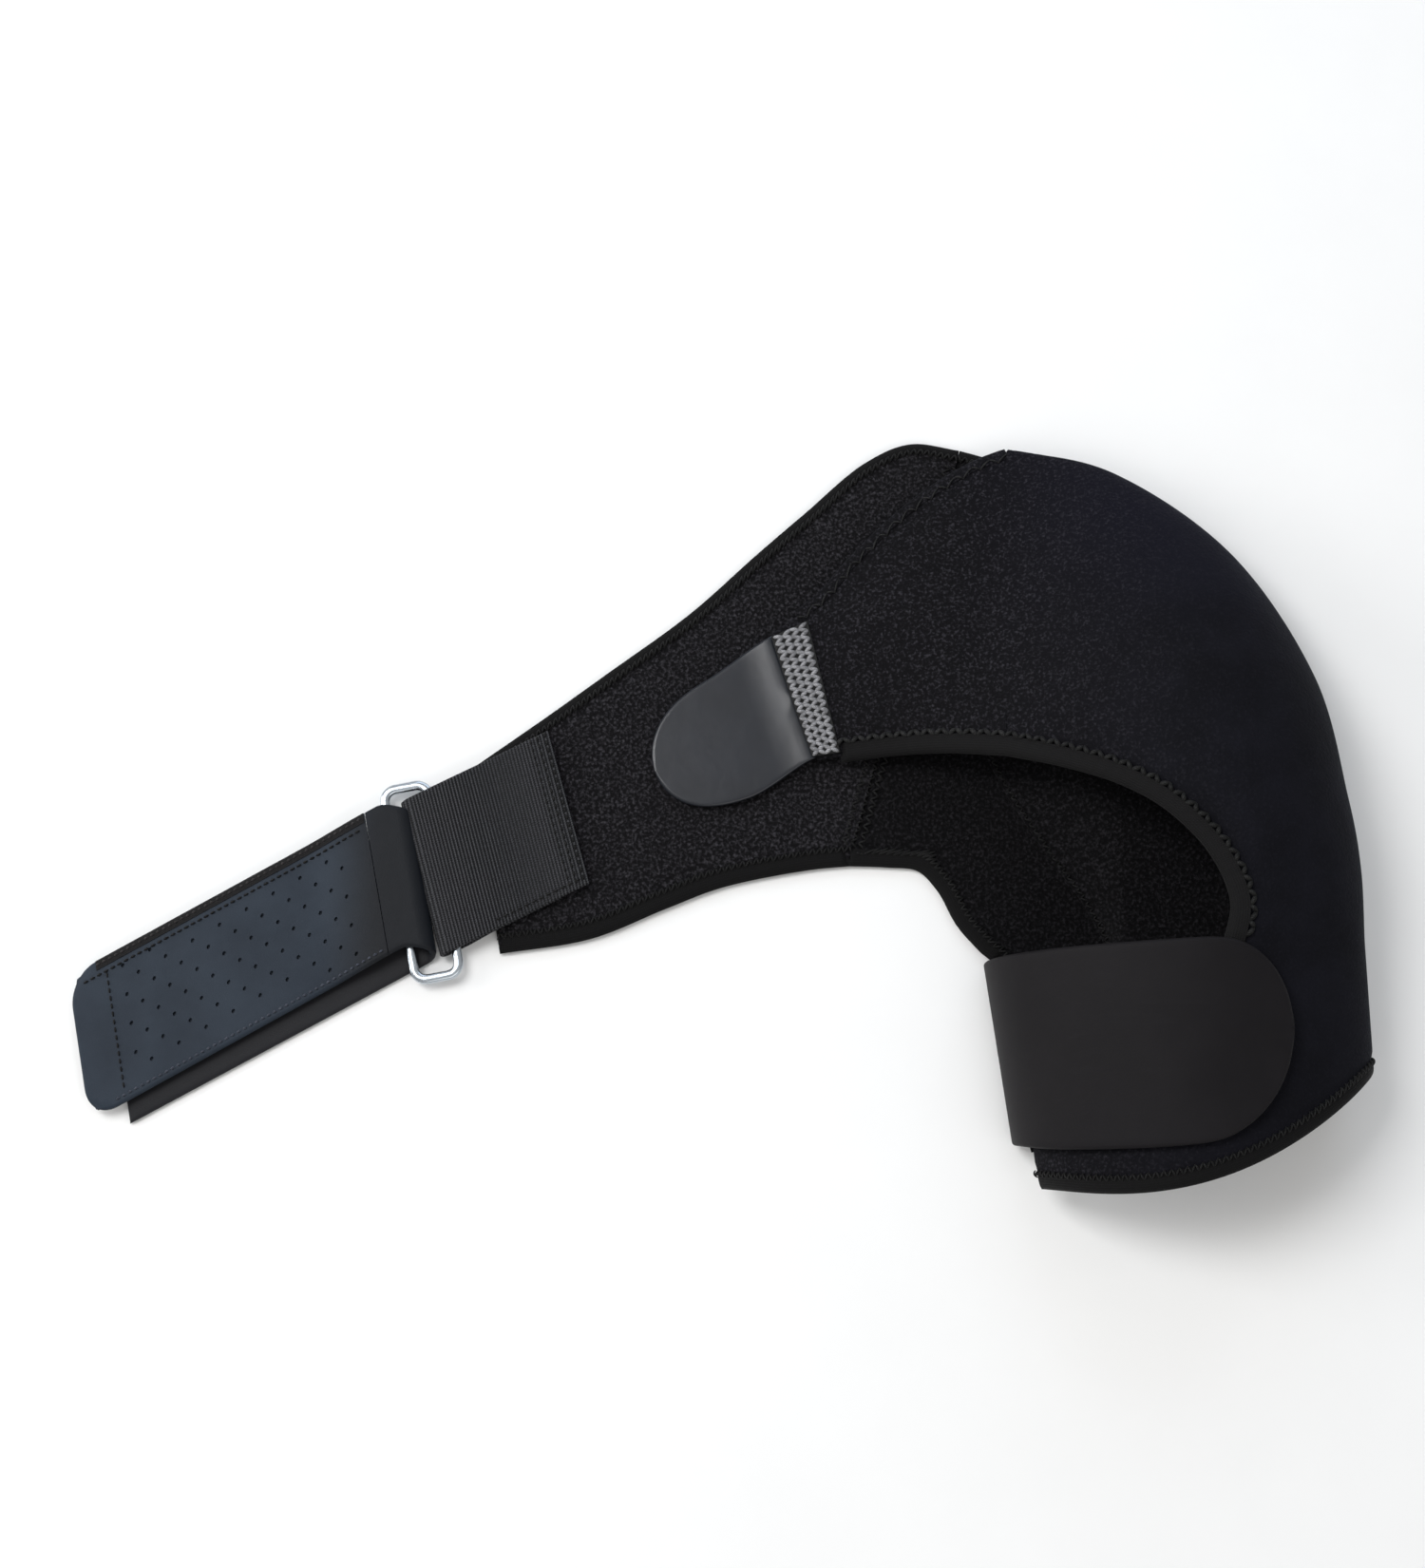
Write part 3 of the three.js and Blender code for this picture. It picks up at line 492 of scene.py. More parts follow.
def flap_surface(u, v):
    """The front flap: u runs from the tab to the cap, and v from its lower edge to its upper."""
    place = lerp(flap_bottom(u), flap_top(u), v[..., None])
    place[..., 2] += FLAP_SWELL * np.sin(math.pi * u) * np.sin(math.pi * v)
    return place


TAB_ROOT = (flap_bottom(0.0) + flap_top(0.0)) / 2
TAB_ACROSS = unit(flap_bottom(0.0) - flap_top(0.0))
TAB_SQUARE = math.degrees(math.atan2(-TAB_ACROSS[0], TAB_ACROSS[1]))
TAB_RUN = direction(TAB_SQUARE + TAB_LEAN)
TAB_ROOT_GAP = 0.3
TAB_END_SHARE = 0.965  # the tab's outline stops here, and closes on a short flat


def tab_surface(u, v):
    """The pull tab: v runs from its root to its round end."""
    share = 1 - (1 - TAB_END_SHARE * v) ** 2
    run, half = TAB_LENGTH * share, TAB_WIDTH / 2 * np.sqrt(1 - share**4)
    across = TAB_SAG * smoothstep(run, 0, TAB_LENGTH / 2) + half * (1 - 2 * u)
    place = TAB_ROOT + TAB_RUN * (run + TAB_ROOT_GAP)[..., None] + TAB_ACROSS * across[..., None]
    drop = TAB_RISE * (1 - (1 - np.clip(run / TAB_BEND, 0, 1)) ** 2)
    place[..., 2] = TAB_ROOT[2] + FOAM / 2 - TAB_THICKNESS / 2 - drop
    return place


TONGUE_END = math.radians(86)  # how far round its end the cuff strap's outline goes
CUFF_TOP = [CUFF_TOP_Y, -50, -49, -46]
CUFF_BOTTOM = [CUFF_BOTTOM_Y, -119.5, -119.5, -113]
CUFF_ROOT_SHARE, CUFF_STRAIGHT = 0.06, 0.72  # shares of the strap: its root, and where its round end starts
CUFF_EDGE_GAP = 0.5  # between the strap's root and the back panel's edge


def cuff_surface(u, v):
    """The cuff strap, from the back panel's edge round the fold and over the sleeve to its round end."""
    w = np.clip((v - CUFF_ROOT_SHARE) / (1 - CUFF_ROOT_SHARE), 0, 1)
    turned = np.clip((w - CUFF_STRAIGHT) / (1 - CUFF_STRAIGHT), 0, 1) * TONGUE_END
    run = np.minimum(w, CUFF_STRAIGHT) + (1 - CUFF_STRAIGHT) * np.sin(turned)
    top, bottom = along(CUFF_TOP, run), along(CUFF_BOTTOM, run)
    y = (top + bottom) / 2 + (top - bottom) / 2 * np.cos(turned) * (1 - 2 * u)
    share = (sleeve_top_y(SLEEVE_MIDDLE) - y) / (sleeve_top_y(SLEEVE_MIDDLE) - sleeve_hem_y(SLEEVE_MIDDLE))
    crown_x = lerp(*SLEEVE["crown_x"], share)
    reach = (CUFF_RIGHT - crown_x) / (lerp(*SLEEVE["right"], share) - crown_x)
    left_x = cuff_edge_x(y) - CUFF_BEND - CUFF_EDGE_GAP
    shape = {**SLEEVE, "left": (left_x, left_x), "left_z": TABLE + CUFF_BEND + GAP - CUFF_LIFT}
    over_x, over_z = arch_at(shape, share, lerp(180, np.degrees(np.arccos(reach)), run), CUFF_LIFT)
    bend = np.clip(v / CUFF_ROOT_SHARE, 0, 1) * (math.pi / 2)
    root_x = cuff_edge_x(y) - CUFF_EDGE_GAP - CUFF_BEND * np.sin(bend)
    root_z = TABLE + (CUFF_BEND + GAP) * (1 - np.cos(bend))
    on_root = v < CUFF_ROOT_SHARE
    return xyz(np.where(on_root, root_x, over_x), y, np.where(on_root, root_z, over_z))


RING_ACROSS, RING_UP = direction(WIRE_TILT), direction(90 + WIRE_TILT)


def side_length(line):
    """Length of a side-view line."""
    return path_length(np.array([(a, 0, z) for a, z in line]))[-1]


def band_surface(line, origin, angle, half_width, side_way=RING_UP, shift=None):
    """A band: a smooth side-view line in the direction of its run, drawn out along side_way.

    shift(u) moves it along side_way on its way.
    """
    side = by_length(np.array([(a, 0, z) for a, z in line]))

    def surface(u, v):
        at = side(u)
        across = half_width * (2 * v - 1) + (shift(u) if shift else 0)
        place = origin + direction(angle) * at[..., :1] + side_way * across[..., None]
        place[..., 2] = at[..., 2]
        return place

    return surface


def arc(centre_a, centre_z, radius, start, end, steps=16):
    """Points of an arc in a side view, between two angles in degrees."""
    angles = np.radians(np.linspace(start, end, steps + 1))
    return [(centre_a + radius * math.cos(t), centre_z + radius * math.sin(t)) for t in angles]


def eased(start, end, steps=12):
    """Points of a smooth step between two levels of a side view."""
    (a0, z0), (a1, z1) = start, end
    t = np.linspace(0, 1, steps + 1)
    return [(lerp(a0, a1, s), lerp(z0, z1, s * s * (3 - 2 * s))) for s in t]


# ---------------------------------------------------------------- mesh builders


def mesh_object(name, points, faces, material, cloth=None, sharp=50):
    """A piece from points in the CAD's frame.

    cloth holds each point's place on the flat cloth, in millimetres.
    """
    mesh = bpy.data.meshes.new(name)
    mesh.from_pydata(placed(points), [], faces)
    mesh.validate()
    mesh.shade_smooth()
    mesh.set_sharp_from_angle(angle=math.radians(sharp))
    if cloth is not None:
        layer = mesh.attributes.new("cloth", "FLOAT_VECTOR", "POINT")
        layer.data.foreach_set("vector", np.asarray(cloth, np.float32).ravel())
    mesh.materials.append(material)
    piece = bpy.data.objects.new(name, mesh)
    bpy.context.scene.collection.objects.link(piece)
    return piece


def pulled_in(points, rows):
    """How far points sink where rows of stitches pull a surface in: each row is (points, depth, width)."""
    flat = points.reshape(-1, 3)
    total = np.zeros(len(flat))
    for row, depth, width in rows:
        near = np.full(len(flat), np.inf)
        for block in np.array_split(row, max(1, len(row) // 50)):
            apart = ((flat[:, None] - block[None]) ** 2).sum(-1).min(1)
            near = np.minimum(near, apart)
        total += depth * np.exp(-near / width**2)
    return total.reshape(points.shape[:-1])


RIM_STEPS = 4


def stop_shares(count, rims, lengths):
    """Shares of the way across, one row per stop, for lines of these lengths with round rims."""
    turns = 1 - np.cos(np.linspace(0, math.pi / 2, RIM_STEPS + 1))[:-1, None]
    start, end = rims[0] / lengths[None], 1 - rims[1] / lengths[None]
    rows = [turns * start] if rims[0] else []
    rows.append(start + (end - start) * np.linspace(0, 1, count + 1)[:, None])
    if rims[1]:
        rows.append(1 - turns[::-1] * (1 - end))
    return np.concatenate(rows)


def nominal_shares(count, rims):
    """Shares of the way across, one per stop, with every stop of a rim at its edge."""
    first = [0.0] * (RIM_STEPS if rims[0] else 0)
    last = [1.0] * (RIM_STEPS if rims[1] else 0)
    return np.concatenate([first, np.linspace(0, 1, count + 1), last])


def line_lengths(surface, others, across_u):
    """Length of the line of each share in others, allowing for lines that meet their edges at a slant."""
    t = np.linspace(0, 1, 25)
    grid_t, grid_o = np.meshgrid(t, others, indexing="ij")
    u, v = (grid_t, grid_o) if across_u else (grid_o, grid_t)
    points = surface(u, v)
    length = np.linalg.norm(np.diff(points, axis=0), axis=-1).sum(0)
    du, dv = slopes(surface, u, v)
    slant = np.linalg.norm(np.cross(unit(du), unit(dv)), axis=-1)
    return length * np.maximum(np.minimum(slant[0], slant[-1]), 0.3)


def sheet(name, surface, thickness, material, *, spacing=(1.6, 1.6), butt=(), thin=None, pressed=(),
          relief=None, body_half=None):
    """A closed sheet about a surface. Its edges are round, but square on the edges in butt.

    thin holds {edge: (how far in, thickness)} where a tape presses the edge down. pressed holds rows of
    stitches that pull the upper side in, and relief(points, u, v) gives heights to add to the upper side.
    body_half(points, u, v) gives the half thickness of a sheet that isn't even.
    """
    thin = thin or {}
    edge_half = {e: thin.get(e, (0, thickness))[1] / 2 for e in ("u0", "u1", "v0", "v1")}
    rims_u = [0 if e in butt else edge_half[e] for e in ("u0", "u1")]
    rims_v = [0 if e in butt else edge_half[e] for e in ("v0", "v1")]
    rough = np.linspace(0, 1, 9)
    count_u = max(2, math.ceil(line_lengths(surface, rough, True).max() / spacing[0]))
    count_v = max(2, math.ceil(line_lengths(surface, rough, False).max() / spacing[1]))
    lengths_u = line_lengths(surface, nominal_shares(count_v, rims_v), True)
    lengths_v = line_lengths(surface, nominal_shares(count_u, rims_u), False)
    u = stop_shares(count_u, rims_u, lengths_u)
    v = stop_shares(count_v, rims_v, lengths_v).T
    from_edge = {
        "u0": u * lengths_u[None], "u1": (1 - u) * lengths_u[None],
        "v0": v * lengths_v[:, None], "v1": (1 - v) * lengths_v[:, None],
    }
    half = np.full(u.shape, thickness / 2)
    for edge, (reach, edge_thickness) in thin.items():
        rising = smoothstep(from_edge[edge], reach, reach + 3)
        half = np.minimum(half, lerp(edge_thickness / 2, thickness / 2, rising))
    roundness = np.ones(u.shape)
    for edge in ("u0", "u1", "v0", "v1"):
        if edge not in butt:
            inside = np.clip(from_edge[edge] / edge_half[edge], 0, 1)
            roundness = np.minimum(roundness, np.sqrt(1 - (1 - inside) ** 2))
    on_rim = roundness < 1e-3
    roundness[on_rim] = 0
    middle = surface(u, v)
    if body_half is not None:
        half = body_half(middle, u, v)
    normal = normals(surface, u, v)
    up = side_up(normal)
    above = half * roundness
    if pressed:
        above = above - pulled_in(middle + normal * up * half[..., None], pressed) * roundness
    if relief is not None:
        above = above + relief(middle, u, v) * roundness
    upper = middle + normal * (up * above)[..., None]
    lower = middle - normal * (up * half * roundness)[..., None]
    rows, columns = u.shape
    top = np.arange(rows * columns).reshape(rows, columns)
    bottom = np.where(on_rim, top, -1)
    free = bottom < 0
    bottom[free] = rows * columns + np.arange(free.sum())
    points = np.concatenate([upper.reshape(-1, 3), lower[free]])
    flat = np.stack([u * lengths_u.mean(), v * lengths_v.mean(), np.zeros_like(u)], -1)
    cloth = np.concatenate([flat.reshape(-1, 3), flat[free]])
    quads = [
        np.stack([top[:-1, :-1], top[1:, :-1], top[1:, 1:], top[:-1, 1:]], -1).reshape(-1, 4),
        np.stack([bottom[:-1, :-1], bottom[:-1, 1:], bottom[1:, 1:], bottom[1:, :-1]], -1).reshape(-1, 4),
    ]
    sides = {
        "u0": (top[0, :-1], top[0, 1:], bottom[0, 1:], bottom[0, :-1]),
        "u1": (top[-1, 1:], top[-1, :-1], bottom[-1, :-1], bottom[-1, 1:]),
        "v0": (top[1:, 0], top[:-1, 0], bottom[:-1, 0], bottom[1:, 0]),
        "v1": (top[:-1, -1], top[1:, -1], bottom[1:, -1], bottom[:-1, -1]),
    }
    quads += [np.stack(sides[edge], -1) for edge in butt]
    faces = [list(dict.fromkeys(q)) for q in np.concatenate(quads).tolist()]
    faces = [q if up > 0 else q[::-1] for q in faces if len(q) > 2]
    piece = mesh_object(name, points, faces, material, cloth)
    piece["area_m2"] = float(np.linalg.norm(np.cross(
        middle[1:, :-1] - middle[:-1, :-1], middle[:-1, 1:] - middle[:-1, :-1]), axis=-1).sum() * MM * MM)
    return piece


def bar(name, rings, material, *, closed=False, cloth=None, sharp):
    """A closed bar from rings of points; the ends are capped unless the rings close on themselves."""
    rings = np.asarray(rings, float)
    count, size = rings.shape[:2]
    index = np.arange(count * size).reshape(count, size)
    nxt = np.roll(index, -1, axis=0) if closed else index[1:]
    here = index if closed else index[:-1]
    turned_here, turned_next = np.roll(here, -1, axis=1), np.roll(nxt, -1, axis=1)
    faces = np.stack([here, turned_here, turned_next, nxt], -1).reshape(-1, 4).tolist()
    if not closed:
        faces += [index[0][::-1].tolist(), index[-1].tolist()]
    return mesh_object(name, rings.reshape(-1, 3), faces, material, cloth, sharp)


def round_section(sides, power=2.0):
    """Unit section points, round for power 2 and flatter-sided above it."""
    angle = np.linspace(0, 2 * math.pi, sides, endpoint=False)
    c, s = np.cos(angle), np.sin(angle)
    return np.sign(c) * np.abs(c) ** (2 / power), np.sign(s) * np.abs(s) ** (2 / power)


def stitches(name, start, end, normal, material, *, radius=STITCH, lift=0.35, sink=0.5, steps=8, sides=6):
    """Threads from each start to each end, arched over the cloth, their ends sunk into it."""
    t = np.linspace(0, 1, steps)
    arch = np.sin(math.pi * t) ** 0.7 * (lift + sink) - sink
    centre = start[:, None] + (end - start)[:, None] * t[:, None] + normal[:, None] * arch[:, None]
    run = unit(np.gradient(centre, axis=1))
    side = unit(np.cross(run, normal[:, None]))
    over = np.cross(side, run)
    c, s = round_section(sides)
    thick = radius * (0.6 + 0.4 * np.sin(math.pi * t))[None, :, None, None]
    rings = centre[:, :, None] + thick * (side[:, :, None] * c[:, None] + over[:, :, None] * s[:, None])
    count = len(start)
    index = np.arange(count * steps * sides).reshape(count, steps, sides)
    here, nxt = index[:, :-1], index[:, 1:]
    faces = np.stack([here, np.roll(here, -1, 2), np.roll(nxt, -1, 2), nxt], -1).reshape(-1, 4).tolist()
    faces += index[:, 0, ::-1].tolist() + index[:, -1].tolist()
    reach = np.linalg.norm(end - start, axis=1)[:, None, None] * t[None, :, None]
    turn = np.arange(sides) / sides * 2 * math.pi * radius
    cloth = np.stack(np.broadcast_arrays(reach, turn[None, None], 0.0 * reach), -1).reshape(-1, 3)
    return mesh_object(name, rings.reshape(-1, 3), faces, material, cloth, 80)


def joined(name, *pieces):
    """Several pieces of one material as one piece."""
    bpy.ops.object.select_all(action="DESELECT")
    for piece in pieces:
        piece.select_set(True)
    bpy.context.view_layer.objects.active = pieces[0]
    bpy.ops.object.join()
    pieces[0].name = name
    pieces[0].data.name = name
    return pieces[0]


# ---------------------------------------------------------------- edges of a surface

# For each edge: its u and v at a share t of it, the way that runs into the sheet, and that way's sign
EDGES = {
    "v0": (lambda t: (t, 0 * t), "v", 1), "v1": (lambda t: (t, 0 * t + 1), "v", -1),
    "u0": (lambda t: (0 * t, t), "u", 1), "u1": (lambda t: (0 * t + 1, t), "u", -1),
}


def edge_steps(surface, edge, spacing, start=0.0, stop=1.0):
    """Even steps along an edge, as shares of it."""
    t = np.linspace(start, stop, 600)
    length = path_length(surface(*EDGES[edge][0](t)))
    return np.interp(np.linspace(0, length[-1], round(length[-1] / spacing) + 1), length, t)


def edge_slopes(surface, edge, t):
    """An edge's u and v, how the surface moves there along the edge and across it, and the sign of inward."""
    at, axis, inward = EDGES[edge]
    u, v = at(t)
    du, dv = slopes(surface, u, v)
    run, across = (du, dv) if axis == "v" else (dv, du)
    return u, v, run, across, inward


def edge_frame(surface, edge, t):
    """Points on an edge, with the directions out of the sheet and off its upper side."""
    u, v, run, across, inward = edge_slopes(surface, edge, t)
    normal = normals(surface, u, v)
    normal = normal * side_up(normal)
    outward = unit(np.cross(run, normal))
    outward = outward * np.where(((outward * across).sum(-1) * inward).mean() > 0, -1.0, 1.0)
    return surface(u, v), outward, normal


def inset(surface, edge, t, distance):
    """Points a distance in from an edge, on the surface, and the normals there."""
    u, v, run, across, inward = edge_slopes(surface, edge, t)
    slant = np.maximum(np.linalg.norm(np.cross(unit(run), unit(across)), axis=-1), 0.3)
    step = inward * distance / (np.linalg.norm(across, axis=-1) * slant)
    u, v = (u, v + step) if EDGES[edge][1] == "v" else (u + step, v)
    normal = normals(surface, u, v)
    return surface(u, v), normal * side_up(normal)


def tape_profile(reach, nose, half, thickness=TAPE, steps=10):
    """Section of a tape folded over an edge: (outward, up) points round it."""
    turn = np.linspace(math.pi / 2, -math.pi / 2, steps + 1)
    start = -0.4 * nose

    def fold(height, tip):
        bend = [(start + (tip - start) * math.cos(a), height * math.sin(a)) for a in turn]
        return [(-reach, height), *bend, (-reach, -height)]

    return np.array(fold(half, nose) + fold(half - thickness, nose - thickness)[::-1])


def edge_tape(name, frames, material, *, reach=3.9, nose=TAPE_NOSE, half=FOAM / 2, pitch=3.0, pucker=0.18):
    """A tape folded along an edge; its upper side draws in between the stitches."""
    base, outward, normal = frames
    profile = tape_profile(reach, nose, half)
    length = path_length(base)
    wave = 0.5 + 0.5 * np.cos(2 * math.pi * length / pitch)
    ends = smoothstep(np.minimum(length, length[-1] - length), -1.0, 3.0)
    o = profile[:, 0] * np.ones((len(base), 1))
    n = profile[:, 1] * np.ones((len(base), 1))
    near_stitch = smoothstep(-profile[:, 0], reach * 0.3, reach)
    n = n - np.sign(n) * pucker * wave[:, None] * near_stitch
    rings = base[:, None] + outward[:, None] * o[..., None] + normal[:, None] * (n * ends[:, None])[..., None]
    around = path_length(np.column_stack([profile, np.zeros(len(profile))]))
    cloth = np.stack(np.broadcast_arrays(length[:, None], around[None], 0.0 * around[None]), -1)
    return bar(name, rings, material, cloth=cloth.reshape(-1, 3), sharp=60)


def zigzag(surface, edge, t, near, far, height):
    """Corners of a zigzag along an edge, between two distances in from it, and the normals there."""
    distance = alternating(len(t), near, far)
    points, normal = inset(surface, edge, t, distance)
    return points + normal * height, normal


def zigzag_stitches(name, corners, normal, material, **shape):
    """A stitch between each two neighbouring corners."""
    return stitches(name, corners[:-1], corners[1:], unit(normal[:-1] + normal[1:]), material, **shape)


# ---------------------------------------------------------------- materials


class Finish:
    """A node material under construction. Each method adds a node and gives back its output."""

    def __init__(self, name, **shader):
        self.material = bpy.data.materials.new(name)
        self.material.use_nodes = True
        self.tree = self.material.node_tree
        self.shader = self.tree.nodes["Principled BSDF"]
        for socket, value in shader.items():
            self.shader.inputs[socket.replace("_", " ")].default_value = value

    def node(self, kind, output=0, settings=None, **inputs):
        made = self.tree.nodes.new(kind)
        for key, value in (settings or {}).items():
            setattr(made, key, value)
        for key, value in inputs.items():
            socket = made.inputs[int(key[1:])] if key[1:].isdigit() else made.inputs[key.replace("_", " ")]
            self.put(value, socket)
        return made.outputs[output]

    def put(self, value, socket):
        if isinstance(value, bpy.types.NodeSocket):
            self.tree.links.new(value, socket)
        else:
            socket.default_value = value

    def object_mm(self):
        """Place in the row frame, in millimetres."""
        place = self.node("ShaderNodeTexCoord", 3)
        return self.node("ShaderNodeVectorMath", settings={"operation": "SCALE"}, i0=place, Scale=1 / MM)

    def cloth_mm(self):
        """Place on the flat cloth, in millimetres."""
        return self.node("ShaderNodeAttribute", 1, {"attribute_name": "cloth"})

    def math(self, operation, a, b=0.5):
        return self.node("ShaderNodeMath", settings={"operation": operation}, i0=a, i1=b)

    def times(self, a, b):
        return self.math("MULTIPLY", a, b)

    def plus(self, a, b):
        return self.math("ADD", a, b)

    def minus(self, a, b):
        return self.math("SUBTRACT", a, b)

    def noise(self, place, scale, detail=3.0, roughness=0.6):
        return self.node("ShaderNodeTexNoise", Vector=place, Scale=scale, Detail=detail, Roughness=roughness)

    def cells(self, place, scale, randomness=1.0):
        return self.node("ShaderNodeTexVoronoi", Vector=place, Scale=scale, Randomness=randomness)

    def waves(self, position, pitch):
        """0 to 1 and back over each pitch of a position in millimetres."""
        turned = self.math("SINE", self.times(position, 2 * math.pi / pitch))
        return self.plus(self.times(turned, 0.5), 0.5)

    def axis(self, place, axis):
        return self.node("ShaderNodeSeparateXYZ", axis, Vector=place)

    def ramp(self, value, low, high):
        """0 to 1, smoothly, as a value goes from low to high."""
        settings = {"interpolation_type": "SMOOTHSTEP"}
        return self.node("ShaderNodeMapRange", settings=settings, i0=value, i1=low, i2=high)

    def mix(self, share, a, b):
        return self.node("ShaderNodeMix", 2, {"data_type": "RGBA"}, i0=share, i6=a, i7=b)

    def bump(self, height, distance, strength=1.0, under=None):
        inputs = {"Height": height, "Distance": distance * MM, "Strength": strength}
        if under is not None:
            inputs["Normal"] = under
        return self.node("ShaderNodeBump", **inputs)

    def done(self, colour=None, roughness=None, normal=None):
        for value, socket in ((colour, "Base Color"), (roughness, "Roughness"), (normal, "Normal")):
            if value is not None:
                self.put(value, self.shader.inputs[socket])
        return self.material


def grey(value, blue=0.0, red=0.0):
    """A grey with a share more blue and red than green."""
    return (value * (1 + red), value, value * (1 + blue), 1.0)


def loop_cloth(name, dark, light, speckle=1.0, blue=0.14, red=0.05):
    """Brushed loop pile: tangled fibres that catch the light in specks."""
    f = Finish(name, Specular_IOR_Level=0.06, Sheen_Weight=0.025, Sheen_Roughness=0.45)
    place = f.object_mm()
    warped = f.node("ShaderNodeVectorMath", settings={"operation": "ADD"}, i0=place,
                    i1=f.node("ShaderNodeTexNoise", 1, Vector=place, Scale=0.9, Detail=2.0))
    tufts = f.cells(warped, 0.8)
    fibres = f.noise(place, 0.75, 4.0, 0.72)
    patches = f.noise(place, 0.07, 3.0)
    fleck = f.ramp(f.minus(fibres, f.times(tufts, 0.22)), 0.32, 0.64)
    tone = f.times(fleck, f.ramp(patches, -0.9, 0.9))
    colour = f.mix(f.times(tone, speckle), grey(dark, blue, red), grey(light, blue, red))
    height = f.plus(f.times(fibres, 1.1), f.times(tufts, -0.5))
    coarse = f.bump(patches, 3.0, 0.35)
    return f.done(colour, f.plus(f.times(fibres, 0.15), 0.82), f.bump(height, 0.55, speckle, coarse))


def cap_cloth():
    """Facing of the flap and the cap: loop pile on the flap, brushed smoother to the right, with painted shade and a
    painted blue sheen.
    """
    f = Finish("cap_cloth", Specular_IOR_Level=0.07, Sheen_Weight=0.03, Sheen_Roughness=0.35,
               Sheen_Tint=(0.75, 0.82, 1.0, 1.0))
    place = f.object_mm()
    tufts = f.cells(place, 0.8)
    fibres = f.noise(place, 0.8, 4.0, 0.75)
    patches = f.noise(place, 0.045, 2.0)
    # Towards the right the cloth turns smoother, its own brushing, and darker, which is painted shade.
    smooth_and_shaded_end = f.ramp(f.axis(place, 0), 75.0, 200.0)
    fleck = f.ramp(f.minus(fibres, f.times(tufts, 0.22)), 0.36, 0.62)
    pile = f.mix(f.times(fleck, f.ramp(patches, -0.8, 1.0)), grey(0.0040, 0.2, 0.05), grey(0.034, 0.2, 0.05))
    # Painted sheen: the plain cloth turns bluer towards the top, standing in for the sky light's reflection.
    painted_sky_sheen = f.ramp(f.axis(place, 1), 40.0, 130.0)
    shaded = f.mix(f.ramp(patches, 0.3, 0.7), grey(0.0042, 0.45), grey(0.0062, 0.5))
    plain = f.mix(painted_sky_sheen, shaded, grey(0.0064, 1.1))
    faint = f.mix(f.times(fleck, 0.2), plain, grey(0.014, 0.4))
    colour = f.mix(smooth_and_shaded_end, pile, faint)
    height = f.plus(fibres, f.times(tufts, -0.45))
    return f.done(colour, 0.85, f.bump(height, 0.45, 0.7, f.bump(patches, 3.0, 0.3)))


def woven_tape(name, base, light):
    """Narrow stretch tape: a fine twill with soft edges."""
    f = Finish(name, Specular_IOR_Level=0.12, Sheen_Weight=0.03, Sheen_Roughness=0.4)
    cloth = f.cloth_mm()
    s, w = f.axis(cloth, 0), f.axis(cloth, 1)
    twill = f.waves(f.plus(s, w), 0.75)
    ribs = f.waves(w, 0.9)
    weave = f.times(twill, ribs)
    fuzz = f.noise(f.object_mm(), 2.4, 3.0)
    colour = f.mix(f.times(weave, fuzz), grey(base, 0.05, 0.04), grey(light, 0.05, 0.04))
    return f.done(colour, 0.78, f.bump(f.plus(weave, f.times(fuzz, 0.6)), 0.16, 0.8))


def thread(name, base, light, roughness=0.55):
    """Twisted polyester thread."""
    f = Finish(name, Specular_IOR_Level=0.15, Sheen_Weight=0.02)
    cloth = f.cloth_mm()
    twist = f.waves(f.plus(f.axis(cloth, 0), f.axis(cloth, 1)), 0.7)
    worn = f.noise(f.object_mm(), 0.4, 2.0)
    colour = f.mix(f.times(twist, f.ramp(worn, 0.2, 0.7)), base, light)
    return f.done(colour, roughness, f.bump(twist, 0.12, 0.7))


def tab_rubber():
    """Smooth welded tab: an even grey with a soft gloss and faint handling marks."""
    f = Finish("tab_rubber", Specular_IOR_Level=0.5)
    place = f.object_mm()
    clouds = f.noise(place, 0.05, 3.0)
    grain = f.noise(place, 5.0, 2.0)
    rubbed = f.noise(place, 0.5, 5.0, 0.7)
    colour = f.mix(f.ramp(clouds, 0.3, 0.7), (0.0060, 0.0075, 0.0115, 1), (0.0095, 0.0115, 0.0170, 1))
    rough = f.plus(f.times(rubbed, 0.08), 0.27)
    return f.done(colour, rough, f.bump(grain, 0.03, 0.4, f.bump(clouds, 2.0, 0.08)))


def cuff_rubber():
    """Matt strap facing with a fine leathery grain and a few soft creases."""
    f = Finish("cuff_rubber", Specular_IOR_Level=0.10, Sheen_Weight=0.01)
    place = f.object_mm()
    clouds = f.noise(place, 0.03, 3.0)
    grain = f.cells(place, 1.7, 1.0)
    slant = (0, 0, math.radians(35))
    stretched = f.node("ShaderNodeMapping", Vector=place, Rotation=slant, Scale=(0.02, 0.22, 0.1))
    creases = f.ramp(f.noise(stretched, 1.0, 2.0), 0.58, 0.7)
    colour = f.mix(f.ramp(clouds, 0.3, 0.7), (0.0068, 0.0060, 0.0070, 1), (0.0092, 0.0082, 0.0094, 1))
    worn = f.mix(f.times(creases, 0.06), colour, (0.016, 0.015, 0.017, 1))
    rough = f.plus(f.times(clouds, 0.15), 0.50)
    return f.done(worn, rough, f.bump(grain, 0.05, 0.5, f.bump(creases, 0.05, 0.2)))


